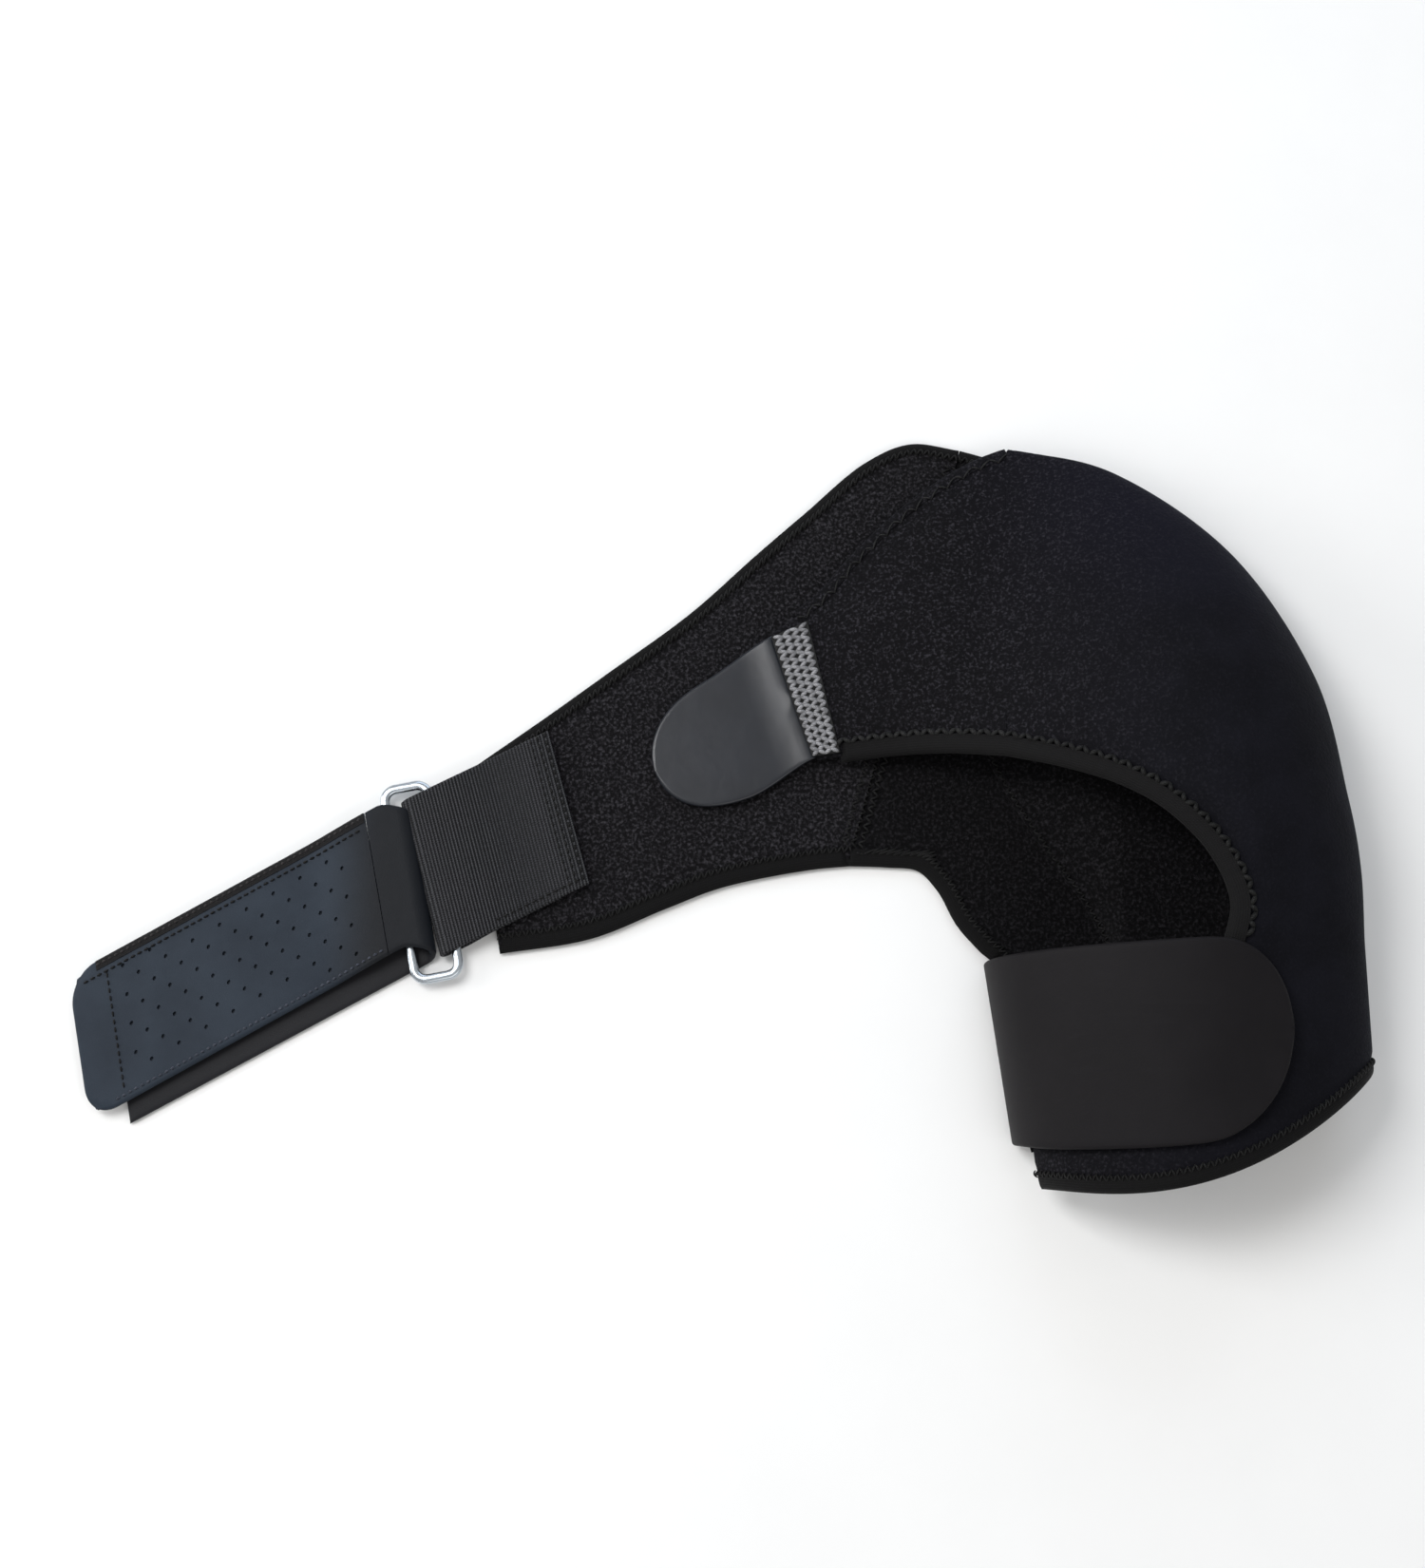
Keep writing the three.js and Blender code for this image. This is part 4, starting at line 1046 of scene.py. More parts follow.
def ribbed_elastic():
    """Wide woven elastic: close ribs across its run, each crossed by fine warp threads."""
    f = Finish("ribbed_elastic", Specular_IOR_Level=0.15, Sheen_Weight=0.03)
    cloth = f.cloth_mm()
    s, w = f.axis(cloth, 0), f.axis(cloth, 1)
    ribs = f.waves(s, RIB_PITCH)
    odd = f.waves(s, 2 * RIB_PITCH)
    warp = f.waves(f.plus(w, f.times(odd, 0.35)), 0.8)
    fuzz = f.noise(f.object_mm(), 2.2, 3.0)
    tone = f.times(f.plus(f.times(ribs, 0.65), f.times(warp, 0.35)), fuzz)
    colour = f.mix(f.ramp(tone, 0.08, 0.55), (0.006, 0.0062, 0.007, 1), (0.060, 0.061, 0.067, 1))
    height = f.plus(ribs, f.times(warp, 0.4))
    return f.done(colour, 0.75, f.bump(height, 0.22, 0.9))


def chrome():
    """Plated wire, bright, with faint polishing marks."""
    f = Finish("chrome", Metallic=1.0)
    place = f.object_mm()
    worn = f.noise(place, 0.25, 4.0)
    marks = f.noise(f.node("ShaderNodeMapping", Vector=place, Scale=(1.0, 1.0, 9.0)), 1.5, 2.0)
    colour = f.mix(worn, (0.42, 0.46, 0.50, 1), (0.58, 0.63, 0.68, 1))
    return f.done(colour, f.plus(f.times(worn, 0.12), 0.20), f.bump(marks, 0.04, 0.3))


def perforated_face():
    """Slate-blue strap facing: a fine-grained coated knit, with painted shade towards the ring, and darker on the
    lower layer.
    """
    f = Finish("perforated_face", Specular_IOR_Level=0.2, Sheen_Weight=0.03, Sheen_Tint=(0.6, 0.75, 1.0, 1.0))
    place = f.object_mm()
    clouds = f.noise(place, 0.035, 3.0)
    grain = f.cells(place, 1.9, 0.9)
    fine = f.noise(place, 3.0, 3.0)
    colour = f.mix(f.ramp(clouds, 0.25, 0.75), (0.0125, 0.0195, 0.031, 1), (0.021, 0.031, 0.046, 1))
    spotted = f.mix(f.times(fine, 0.35), colour, (0.007, 0.010, 0.015, 1))
    rough = f.plus(f.times(fine, 0.18), 0.5)
    # Painted shade: the facing darkens towards the ring, where the elastic and the ring shade it.
    ring_painted_shade = f.ramp(f.axis(place, 0), -121.0, -145.0)
    spotted = f.mix(ring_painted_shade, (0.0045, 0.0056, 0.0080, 1), spotted)
    lower_layer = f.ramp(f.axis(place, 2), 5.2, 3.0)
    spotted = f.mix(lower_layer, spotted, (0.0100, 0.0102, 0.0125, 1))
    return f.done(spotted, rough, f.bump(f.plus(grain, fine), 0.07, 0.6, f.bump(clouds, 2.0, 0.3)))


def hook_tape():
    """Rows of moulded hooks on a flat backing."""
    f = Finish("hook_tape", Specular_IOR_Level=0.5)
    place = f.object_mm()
    dots = f.cells(place, 1.0, 0.25)
    up = f.ramp(dots, 0.42, 0.12)
    colour = f.mix(up, (0.006, 0.006, 0.007, 1), (0.035, 0.035, 0.038, 1))
    return f.done(colour, 0.45, f.bump(up, 0.7, 1.0))


def gel_film():
    """Clear blue film over gel, glossy, with small wrinkles and trapped shades."""
    f = Finish("gel_film", Specular_IOR_Level=0.5, Coat_Weight=0.6, Coat_Roughness=0.12)
    place = f.object_mm()
    depth = f.noise(place, 0.06, 4.0)
    wrinkles = f.noise(place, 0.35, 5.0, 0.6)
    colour = f.mix(depth, (0.015, 0.10, 0.26, 1), (0.07, 0.27, 0.50, 1))
    rough = f.plus(f.times(wrinkles, 0.2), 0.12)
    return f.done(colour, rough, f.bump(wrinkles, 0.9, 0.6))


def table_top():
    f = Finish("table_top", Specular_IOR_Level=0.1)
    grain = f.noise(f.object_mm(), 0.02, 4.0)
    return f.done(f.mix(grain, (0.86, 0.86, 0.855, 1), (0.90, 0.90, 0.895, 1)), 0.9)


LOOP = loop_cloth("loop_cloth", 0.0048, 0.046)
# The back's loop pile is the wing's, darkened as painted shade of the arm opening.
SHADED_BACK_LOOP = loop_cloth("back_cloth", 0.0026, 0.019)
CAP_CLOTH = cap_cloth()
TAPE_CLOTH = woven_tape("edge_tape", 0.0030, 0.0095)
ROLL_CLOTH = woven_tape("armhole_tape", 0.0045, 0.0150)
BLACK_THREAD = thread("black_thread", grey(0.004), grey(0.017))
DARK_THREAD = thread("dark_thread", grey(0.006), grey(0.030))
PALE_THREAD = thread("pale_thread", grey(0.12, 0.04), grey(0.46, 0.05))
BLUE_THREAD = thread("blue_thread", (0.006, 0.008, 0.014, 1), (0.030, 0.038, 0.055, 1))
TAB_RUBBER = tab_rubber()
CUFF_RUBBER = cuff_rubber()
ELASTIC = ribbed_elastic()
CHROME = chrome()
PERFORATED = perforated_face()
HOOKS = hook_tape()
FILM = gel_film()
# The lining's darkness is painted shade of the arm opening.
SHADED_LINING = loop_cloth("lining_cloth", 0.0028, 0.021)
STRIP_BASE = thread("strip_base", grey(0.010), grey(0.030), 0.7)
BORDER_CLOTH = woven_tape("border_cloth", 0.010, 0.034)
DOT_THREAD = thread("dot_thread", (0.040, 0.045, 0.060, 1), (0.10, 0.11, 0.14, 1))
BROWN_THREAD = thread("brown_thread", (0.022, 0.020, 0.020, 1), (0.065, 0.060, 0.062, 1))

# ---------------------------------------------------------------- joining pieces to the frame

joints = {j["name"]: j for j in frame["joints"]}


def finished(piece, slot, *nodes, body=None):
    """Names a piece's finish and the CAD nodes that it stands for, and rides it on its body."""
    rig.slot(piece, slot)
    if nodes:
        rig.replaces(piece, *nodes)
    if body:
        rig.ride(piece, body)
    return piece


FLAP_BEND = (-8 * MM, 42 * MM)  # where the cloth starts and ends its bend, past the flap's hinge
flap_way = np.cross(joints["flap_lift"]["axis"], (0, 0, -1))
flap_way = flap_way / np.linalg.norm(flap_way)


def across_flap(piece, slot, *nodes):
    """A piece of cloth that crosses the line where the front flap bends."""
    finished(piece, slot, *nodes)
    hinge = np.array(joints["flap_lift"]["pos_m"])
    start, end = (hinge + flap_way * run for run in FLAP_BEND)
    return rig.blend(piece, "shell", "front_flap", start=start, end=end)


def cloth_piece(piece, width, length, held, **more):
    """Declares a sheet, with the area of its middle as its flat area."""
    flat = (width * MM, length * MM)
    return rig.sheet(piece, flat=flat, held=held, area=min(piece["area_m2"], flat[0] * flat[1]), **more)


# ---------------------------------------------------------------- the cap meets the flap

JOIN_SOFT = 18.0  # the two surfaces ease into one another within this distance of where they meet
JOIN_START = np.array(CAP_OUTER[0], float)
JOIN_END = np.array(CAP_INNER[0], float)
JOIN_OFF = unit(np.array([JOIN_START[1] - JOIN_END[1], JOIN_END[0] - JOIN_START[0]]))  # towards the cap
JOIN_Q = np.linspace(0.02, 0.98, 40)


def share_of_cap(q):
    """The cap's v where its first station is share q of the way from its fold to the armhole."""
    return ROLL_SHARE + (1 - ROLL_SHARE) * np.arccos(1 - np.clip(q, 0, 1)) / (math.pi / 2)


def climb(surface, u, v):
    """How steeply a surface rises straight across the line of the join, towards the cap."""
    normal = normals(surface, u, v)
    return -(normal[..., :2] @ JOIN_OFF) / normal[..., 2]


CAP_CLIMB = climb(cap_surface, 0 * JOIN_Q, share_of_cap(JOIN_Q))
FLAP_CLIMB = climb(flap_surface, 0 * JOIN_Q + 1, 1 - JOIN_Q)


def eased_join(place, q):
    """Fills the valley where the cap and the flap meet; q runs from the cap's fold to the armhole."""
    turn = np.interp(q, JOIN_Q, CAP_CLIMB - FLAP_CLIMB) * smoothstep(q, 0, 0.15) * smoothstep(q, 1, 0.85)
    s = np.minimum(np.abs((place[..., :2] - JOIN_START) @ JOIN_OFF), JOIN_SOFT)
    place[..., 2] += turn / 2 * ((s**2 + JOIN_SOFT**2) / (2 * JOIN_SOFT) - s)
    return place


def soft_cap(u, v):
    """The cap, eased into the flap."""
    q = 1 - np.cos(np.clip((v - ROLL_SHARE) / (1 - ROLL_SHARE), 0, 1) * (math.pi / 2))
    return eased_join(cap_surface(u, v), q)


def soft_flap(u, v):
    """The flap, eased into the cap."""
    return eased_join(flap_surface(u, v), 1 - v)


# ---------------------------------------------------------------- panels

UNDER_TAPE = (4.5, 3.0)  # how far in, and how thin, a panel is pressed under its edge tape
SEAM_SINK, SEAM_SINK_WIDTH = 0.7, 2.2  # how deep a seam pulls the foam in, and how far to each side


def panels():
    seam = surface_line(wing_surface, 0 * STEPS + 0.992, STEPS)
    taped = {"v0": UNDER_TAPE, "v1": UNDER_TAPE}
    wing = sheet("wing_skin", wing_surface, FOAM, LOOP, butt=("u1",), thin=taped,
                 pressed=[(seam, SEAM_SINK, SEAM_SINK_WIDTH)])
    cloth_piece(finished(wing, "loop_foam", "wing_panel", body="shell"), 175, 150, "laid")

    seam = surface_line(back_surface, STEPS * 0.33, 0 * STEPS + 0.012)
    back = sheet("back_skin", back_surface, FOAM, SHADED_BACK_LOOP, butt=("v1",),
                 thin={"v0": UNDER_TAPE, "u0": UNDER_TAPE, "u1": UNDER_TAPE},
                 pressed=[(seam, SEAM_SINK, SEAM_SINK_WIDTH)])
    cloth_piece(finished(back, "loop_foam", "back_panel", body="shell"), 150, 270, "laid")

    cap = sheet("cap_skin", soft_cap, FOAM, CAP_CLOTH, butt=("u0", "u1", "v0"), thin={"v1": UNDER_TAPE})
    cloth_piece(across_flap(cap, "smooth_foam", "shoulder_cap_panel"), 130, 240, "laid")

    sleeve = sheet("sleeve_skin", sleeve_surface, FOAM, CAP_CLOTH, butt=("u0", "v0"), thin={"u1": UNDER_TAPE})
    cloth_piece(finished(sleeve, "smooth_foam", "upper_arm_panel", body="shell"), 70, 220, "laid")

    flap = sheet("flap_skin", soft_flap, FOAM, CAP_CLOTH, butt=("u1",), thin=taped)
    cloth_piece(across_flap(flap, "loop_foam", "front_flap_panel"), 95, 100, "laid")


# ---------------------------------------------------------------- edge tapes and their stitching


def taped_edge(name, surface, edge, *, start=0.0, stop=1.0, reach=3.9, pitch=2.6, tape_cloth=TAPE_CLOTH,
               sewn_with=BLACK_THREAD, raised=0.1, **shape):
    """A tape along an edge, with small zigzag stitches along its inner border, raised off the cloth."""
    t = edge_steps(surface, edge, pitch / 6, start, stop)
    frames = edge_frame(surface, edge, t)
    tape = edge_tape(name, frames, tape_cloth, reach=reach, pitch=pitch, **shape)
    t = edge_steps(surface, edge, pitch / 2, start, stop)
    corners, normal = zigzag(surface, edge, t, reach - 1.9, reach + 0.5, FOAM / 2 + raised)
    sewn = zigzag_stitches(name + "_stitches", corners, normal, sewn_with)
    return tape, sewn


def on_shell(pieces, *nodes):
    """Rides a tape and its stitches on the shell; the tape stands for the nodes."""
    tape, sewn = pieces
    finished(tape, "binding_tape", *nodes, body="shell")
    finished(sewn, "seam_thread", body="shell")


ROLL_START = 0.12  # share of the flap's lower edge where the rolled band starts, beside the tab's strip


def armhole():
    """The thick rolled band round the armhole, over the cap's edge and the flap's, as one piece."""
    half, reach, pitch = 2.7, 4.6, 5.2
    flap_t = edge_steps(soft_flap, "v0", 0.7, ROLL_START, 1.0)
    cap_t = edge_steps(soft_cap, "v1", 0.7)
    frames = [np.concatenate([a, b[1:]]) for a, b in
              zip(edge_frame(soft_flap, "v0", flap_t), edge_frame(soft_cap, "v1", cap_t))]
    roll = edge_tape("armhole_edging", frames, ROLL_CLOTH, reach=reach, half=half, pitch=pitch, pucker=0.3)
    across_flap(roll, "binding_tape", "armhole_binding", "flap_lower_binding")
    flap_t = edge_steps(soft_flap, "v0", pitch / 2, ROLL_START, 1.0)
    cap_t = edge_steps(soft_cap, "v1", pitch / 2, 0.0, 0.97)
    on_flap = zigzag(soft_flap, "v0", flap_t, reach - 0.2, reach + 1.8, half - 0.2)
    on_cap = zigzag(soft_cap, "v1", cap_t, reach - 0.2, reach + 1.8, half - 0.2)
    shape = {"radius": 0.85, "lift": 0.4, "sink": 1.1}
    sewn = joined(
        "armhole_edging_stitches",
        zigzag_stitches("on_flap", *on_flap, DARK_THREAD, **shape),
        zigzag_stitches("on_cap", *on_cap, BLACK_THREAD, **shape),
    )
    across_flap(sewn, "seam_thread")


def edgings():
    on_shell(taped_edge("wing_top_edging", wing_surface, "v1", reach=2.2, half=1.8), "wing_top_binding")
    on_shell(taped_edge("peak_edging", back_surface, "u0", start=0.0, stop=0.8, reach=2.2, half=1.8))
    on_shell(taped_edge("wing_bottom_edging", wing_surface, "v0", reach=4.6, half=2.0), "wing_bottom_binding")
    on_shell(taped_edge("armpit_edging", back_surface, "v0", start=0.357, stop=0.69), "armpit_binding")
    on_shell(taped_edge("hem_front_edging", sleeve_surface, "u1"), "front_hem_binding")
    # The back hem's stitches are sunk, so that the pack clears them as it slides out
    on_shell(taped_edge("hem_back_edging", back_surface, "u1", raised=-0.5), "back_hem_binding")
    tape, sewn = taped_edge("flap_top_edging", soft_flap, "v1", start=0.10, reach=2.8, pitch=7.4,
                            tape_cloth=CAP_CLOTH, sewn_with=DARK_THREAD)
    across_flap(tape, "binding_tape", "flap_upper_binding")
    across_flap(sewn, "seam_thread")
    armhole()


SEAM_ROWS = (-3.1, 0.0, 3.1)  # where the rows lie, across the wing's seam
SEAM_PITCH, SEAM_SWING = 1.7, 1.3
FOLD_STITCHES, FOLD_SEAM_V, FOLD_SWING = 64, 0.245, 0.008
SLEEVE_STITCHES, SLEEVE_SWING = 130, 0.03


def wing_seam():
    """Three rows of flat zigzag down the wing's seam."""
    rows = []
    way = unit(SEAM_FOOT - SEAM_TOP)
    side = np.array([-way[1], way[0], 0.0])
    up = np.array([0.0, 0.0, 1.0])
    length = np.linalg.norm(SEAM_FOOT - SEAM_TOP)
    s = np.arange(5, length - 4, SEAM_PITCH)
    for middle in SEAM_ROWS:
        swing = alternating(len(s), -SEAM_SWING, SEAM_SWING) + middle
        corners = SEAM_TOP + way * s[:, None] + side * swing[:, None]
        corners[:, 2] = FOAM + 0.02 - SEAM_SINK * math.exp(-(middle / SEAM_SINK_WIDTH) ** 2)
        normal = np.broadcast_to(up, corners.shape)
        rows.append(zigzag_stitches("row", corners, normal, BLACK_THREAD, radius=0.36))
    finished(joined("wing_seam_stitching", *rows), "seam_thread", "wing_seam_tape", body="shell")


def panel_seam(name, surface, u, v, material):
    """Zigzag stitches on a panel, through the points u and v."""
    normal = normals(surface, u, v)
    corners = surface(u, v) + normal * (FOAM / 2)
    return zigzag_stitches(name, corners, normal, material)


def seams():
    """The zigzag seams of the wing, along the cap's fold, and over the arm."""
    wing_seam()
    u = np.linspace(0.0, 0.55, FOLD_STITCHES)
    v = FOLD_SEAM_V + alternating(FOLD_STITCHES, -FOLD_SWING, FOLD_SWING)
    across_flap(panel_seam("cap_fold_stitching", soft_cap, u, v, BLUE_THREAD), "seam_thread")
    u = alternating(SLEEVE_STITCHES, 0.0, SLEEVE_SWING)
    v = np.linspace(0.12, 0.97, SLEEVE_STITCHES)
    sewn = panel_seam("sleeve_seam_stitching", sleeve_surface, u, v, BLACK_THREAD)
    finished(sewn, "seam_thread", body="shell")


# ---------------------------------------------------------------- front tab

STRIP_WIDTH, STRIP_PITCH, STRIP_OVERLAP = 10.4, 3.2, 1.3
STRIP_COLUMNS = 4
STRIP_THICKNESS = 0.7
STRIP_LIFT = 0.45  # from the flap's face to the middle of the strip
TAB_LIFT_BEND = (1.5, 8.0)  # where the rubber starts and ends its bend, past the tab's hinge
FLAP_LENGTH = np.linalg.norm(flap_bottom(1.0) - flap_bottom(0.0))
STRIP_SIDE = float(np.sign(normals(soft_flap, np.array(0.5), np.array(0.5))[2]))  # turns a normal upward


def strip_surface(u, v):
    """The strip that sews the tab on: over the flap's end, and a little way over the tab's root."""
    at_u, at_v = lerp(0.004, STRIP_WIDTH / FLAP_LENGTH, u), lerp(0.03, 0.965 - 0.06 * u, v)
    on_edge = soft_flap(at_u, at_v) + TAB_RUN * STRIP_OVERLAP
    return on_edge + normals(soft_flap, at_u, at_v) * (FOAM / 2 + STRIP_LIFT) * STRIP_SIDE


def front_tab():
    tab = sheet("front_tab_rubber", tab_surface, TAB_THICKNESS, TAB_RUBBER, spacing=(1.2, 1.0))
    cloth_piece(finished(tab, "tab_rubber", "front_tab"), TAB_WIDTH, TAB_LENGTH, "laid")
    hinge = np.array(joints["tab_lift"]["pos_m"])
    start, end = (hinge + TAB_RUN * (run * MM) for run in TAB_LIFT_BEND)
    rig.blend(tab, "front_flap", "front_tab", start=start, end=end)

    strip = sheet("front_tab_strip_base", strip_surface, STRIP_THICKNESS, STRIP_BASE, spacing=(1.0, 1.0))
    cloth_piece(finished(strip, "seam_thread", "front_tab_strip", body="front_flap"), STRIP_WIDTH, 50, "laid")
    rows = []
    across = np.linspace(0.06, 0.94, STRIP_COLUMNS + 1)
    length = path_length(surface_line(strip_surface, 0.5, STEPS))[-1]
    count = round(length / STRIP_PITCH) * 2
    v = np.linspace(0.01, 0.99, count + 1)
    for column, (left, right) in enumerate(zip(across, across[1:])):
        u = alternating(count + 1, left, right, start=column)
        normal = normals(strip_surface, u, v) * STRIP_SIDE
        corners = strip_surface(u, v) + normal * 0.4
        rows.append(zigzag_stitches("row", corners, normal, PALE_THREAD, radius=0.8, lift=0.3, sink=0.3))
    finished(joined("front_tab_strip_threads", *rows), "seam_thread", body="front_flap")


# ---------------------------------------------------------------- cuff strap

CUFF_BLEND = (3.0, 13.0)  # heights between which the cuff strap's root bends


def cuff():
    """The cuff strap and its root, as one band that bends near the table."""
    band = sheet("cuff_band", cuff_surface, CUFF_THICKNESS, CUFF_RUBBER, spacing=(1.6, 1.2))
    finished(band, "cuff_rubber", "cuff_strap_root", "cuff_strap")
    start, end = placed([cuff_edge_x(-86), -86, 0]), placed([cuff_edge_x(-86), -86, 0])
    start[2], end[2] = (z * MM for z in CUFF_BLEND)
    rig.blend(band, "shell", "cuff_strap", start=start, end=end)
    cloth_piece(band, 66, 165, "laid")


# ---------------------------------------------------------------- ring and elastic


def ring_wire():
    """Flattened wire bent into a rectangle with round corners."""
    half_x, half_y = WIRE_WIDTH / 2 - WIRE_CORNER, WIRE_HEIGHT / 2 - WIRE_CORNER
    quarter = np.radians(np.linspace(0, 90, 13))
    centres, outward = [], []
    for k, (x, y) in enumerate([(half_x, half_y), (-half_x, half_y), (-half_x, -half_y), (half_x, -half_y)]):
        angle = quarter + k * math.pi / 2
        out = RING_ACROSS * np.cos(angle)[:, None] + RING_UP * np.sin(angle)[:, None]
        centres.append(RING_CENTRE + RING_ACROSS * x + RING_UP * y + out * WIRE_CORNER)
        outward.append(out)
    centres, outward = np.concatenate(centres), np.concatenate(outward)
    c, s = round_section(24, 2.6)
    rings = centres[:, None] + outward[:, None] * (WIRE_RADIUS * c)[:, None]
    rings[..., 2] += WIRE_HALF_HEIGHT * s
    ring = bar("ring_wire", rings, CHROME, closed=True, sharp=80)
    finished(ring, "chrome", "ring", body="ring")


ELASTIC_TOP = 51.5  # how far the elastic's upper end lies from the ring's far bar
ELASTIC_TURN = -5.0  # where its fold round the bar is centred
RIB_HEIGHT = 0.22
DASH, DASH_PITCH = 2.0, 2.9
DASH_ROWS = (1.6, 4.6, 7.4)  # stitched rows across the elastic, from its upper end


def elastic():
    """Elastic webbing folded round the ring's bar and sewn to the wing's end."""
    origin = RING_CENTRE + RING_ACROSS * WIRE_WIDTH / 2 + RING_UP * ELASTIC_RISE
    radius = WIRE_RADIUS + GAP + ELASTIC_THICKNESS / 2
    on_wing = FOAM + GAP + ELASTIC_THICKNESS / 2
    over = on_wing + ELASTIC_THICKNESS + GAP + 0.2
    bar_z = RING_CENTRE[2]
    line = (
        [(ELASTIC_TOP, over), (30, over)]
        + eased((25, over), (4, bar_z + radius))
        + arc(ELASTIC_TURN, bar_z, radius, 90, 270)
        + eased((1, bar_z - radius), (14, on_wing))
        + [(20, on_wing), (40, on_wing)]
    )
    surface = band_surface(line, origin, ELASTIC_ANGLE, ELASTIC_WIDTH / 2, direction(ELASTIC_SIDE))
    length = side_length(line)

    def ribs(points, u, v):
        return RIB_HEIGHT * np.cos(2 * math.pi * u * length / RIB_PITCH)

    band = sheet("elastic_band", surface, ELASTIC_THICKNESS, ELASTIC, spacing=(0.24, 1.6), relief=ribs)
    finished(band, "elastic_webbing", "elastic_loop", body="shell")
    cloth_piece(band, length, ELASTIC_WIDTH, "folded")

    dashes = []
    for run in DASH_ROWS:
        v = np.arange(2.0, ELASTIC_WIDTH - 2, DASH_PITCH) / ELASTIC_WIDTH
        dashes.append((run / length + 0 * v, v, run / length + 0 * v, v + DASH / ELASTIC_WIDTH))
    u = np.arange(3.0, 36, DASH_PITCH) / length
    dashes.append((u, 0 * u + 0.05, u + DASH / length, 0 * u + 0.05))
    threads = []
    for u0, v0, u1, v1 in dashes:
        normal = upward(normals(surface, u0, v0))
        lift = normal * (ELASTIC_THICKNESS / 2 + 0.12)
        start, end = surface(u0, v0) + lift, surface(u1, v1) + lift
        threads.append(stitches("row", start, end, normal, BLACK_THREAD, radius=0.4, lift=0.3))
    finished(joined("elastic_stitching", *threads), "seam_thread", body="shell")


# ---------------------------------------------------------------- chest strap

HOLE_RADIUS, HOLE_DEPTH = 0.75, 1.2
HOLE_STEP_A, HOLE_STEP_B = np.array([5.9, 5.2]), np.array([5.9, -5.5])  # (along, across) between holes
HOLE_SIDES = 16
HOLE_ORIGIN = [60.0, 0.0]  # one of the lattice's holes, along and across the tail
HOLES_FROM_BAR, HOLES_FROM_TIP = 9, 18  # the tail's ends have no holes
TAIL_BORDER = 6.2  # nor have its sides, within this distance
TAIL_EASED = 34.0  # where the tail has come down to lie flat, measured from the ring's near bar
TAIL_BEND = 25.0  # how far past its pivot the tail has bent when it peels
BORDER_WIDTH = 3.6


def strap_levels():
    """Heights of the middle of the strap's tail: over the bar, and lying on the strap under it."""
    over_bar = RING_CENTRE[2] + WIRE_RADIUS + GAP + STRAP_THICKNESS / 2
    return over_bar, 2 * STRAP_THICKNESS + HOOK_THICKNESS + 2 * GAP - STRAP_THICKNESS / 2


STRAP_ORIGIN = RING_CENTRE - RING_ACROSS * WIRE_WIDTH / 2


def on_tail(run, across, height):
    """A place on the tail, from its distances along and across it and its height off its middle."""
    over_bar, flat = strap_levels()
    back = STRAP_FOLD + GAP + run * (STRAP_TAIL - STRAP_FOLD) / STRAP_TAIL
    level = lerp(over_bar, flat, smoothstep(back, STRAP_FOLD, TAIL_EASED))
    middle = STRAP_ORIGIN - direction(STRAP_ANGLE) * back[..., None]
    place = middle + RING_UP * (across + TAIL_OFFSET)[..., None]
    place[..., 2] = level + height
    return place


def tail_outline(margin, corner_steps=14, spacing=2.0):
    """Outline of the tail, a margin in from its edge, and the directions out of it.

    It runs from the square end at the bar, round the tip and back.
    """
    half, end, tip = STRAP_WIDTH / 2 - margin, STRAP_TAIL - margin, STRAP_TIP - margin
    turn = np.radians(np.linspace(0, 90, corner_steps + 1))
    corner = np.column_stack([np.sin(turn), np.cos(turn)])
    run = np.linspace(0, end - tip, round((end - tip) / spacing), endpoint=False)
    long_side = np.column_stack([run, np.full_like(run, half)])
    top = np.concatenate([long_side, [end - tip, half - tip] + tip * corner])
    out = np.concatenate([np.tile([0.0, 1.0], (len(run), 1)), corner])
    across = np.linspace(half - tip, tip - half, round(2 * (half - tip) / spacing) + 1)[1:-1]
    side = np.column_stack([np.full_like(across, end), across])
    points = np.concatenate([top, side, top[::-1] * [1, -1]])
    outward = np.concatenate([out, np.tile([1.0, 0.0], (len(side), 1)), out[::-1] * [1, -1]])
    back = np.linspace(-half, half, round(2 * half / spacing) + 1)[1:-1]
    points = np.concatenate([points, np.column_stack([np.zeros_like(back), back])])
    return points, np.concatenate([outward, np.tile([0.0, 0.0], (len(back), 1))])


def hole_centres():
    """The lattice of holes that fits between the strap's borders."""
    steps = np.arange(-40, 41)
    a, b = np.meshgrid(steps, steps)
    centres = a.reshape(-1, 1) * HOLE_STEP_A + b.reshape(-1, 1) * HOLE_STEP_B + HOLE_ORIGIN
    run, across = centres.T
    between_ends = (run > HOLES_FROM_BAR) & (run < STRAP_TAIL - HOLES_FROM_TIP)
    return centres[between_ends & (np.abs(across) < STRAP_WIDTH / 2 - TAIL_BORDER)]


def closed_loop(first, count):
    """Edges that join a run of points in a ring."""
    return [(first + i, first + (i + 1) % count) for i in range(count)]


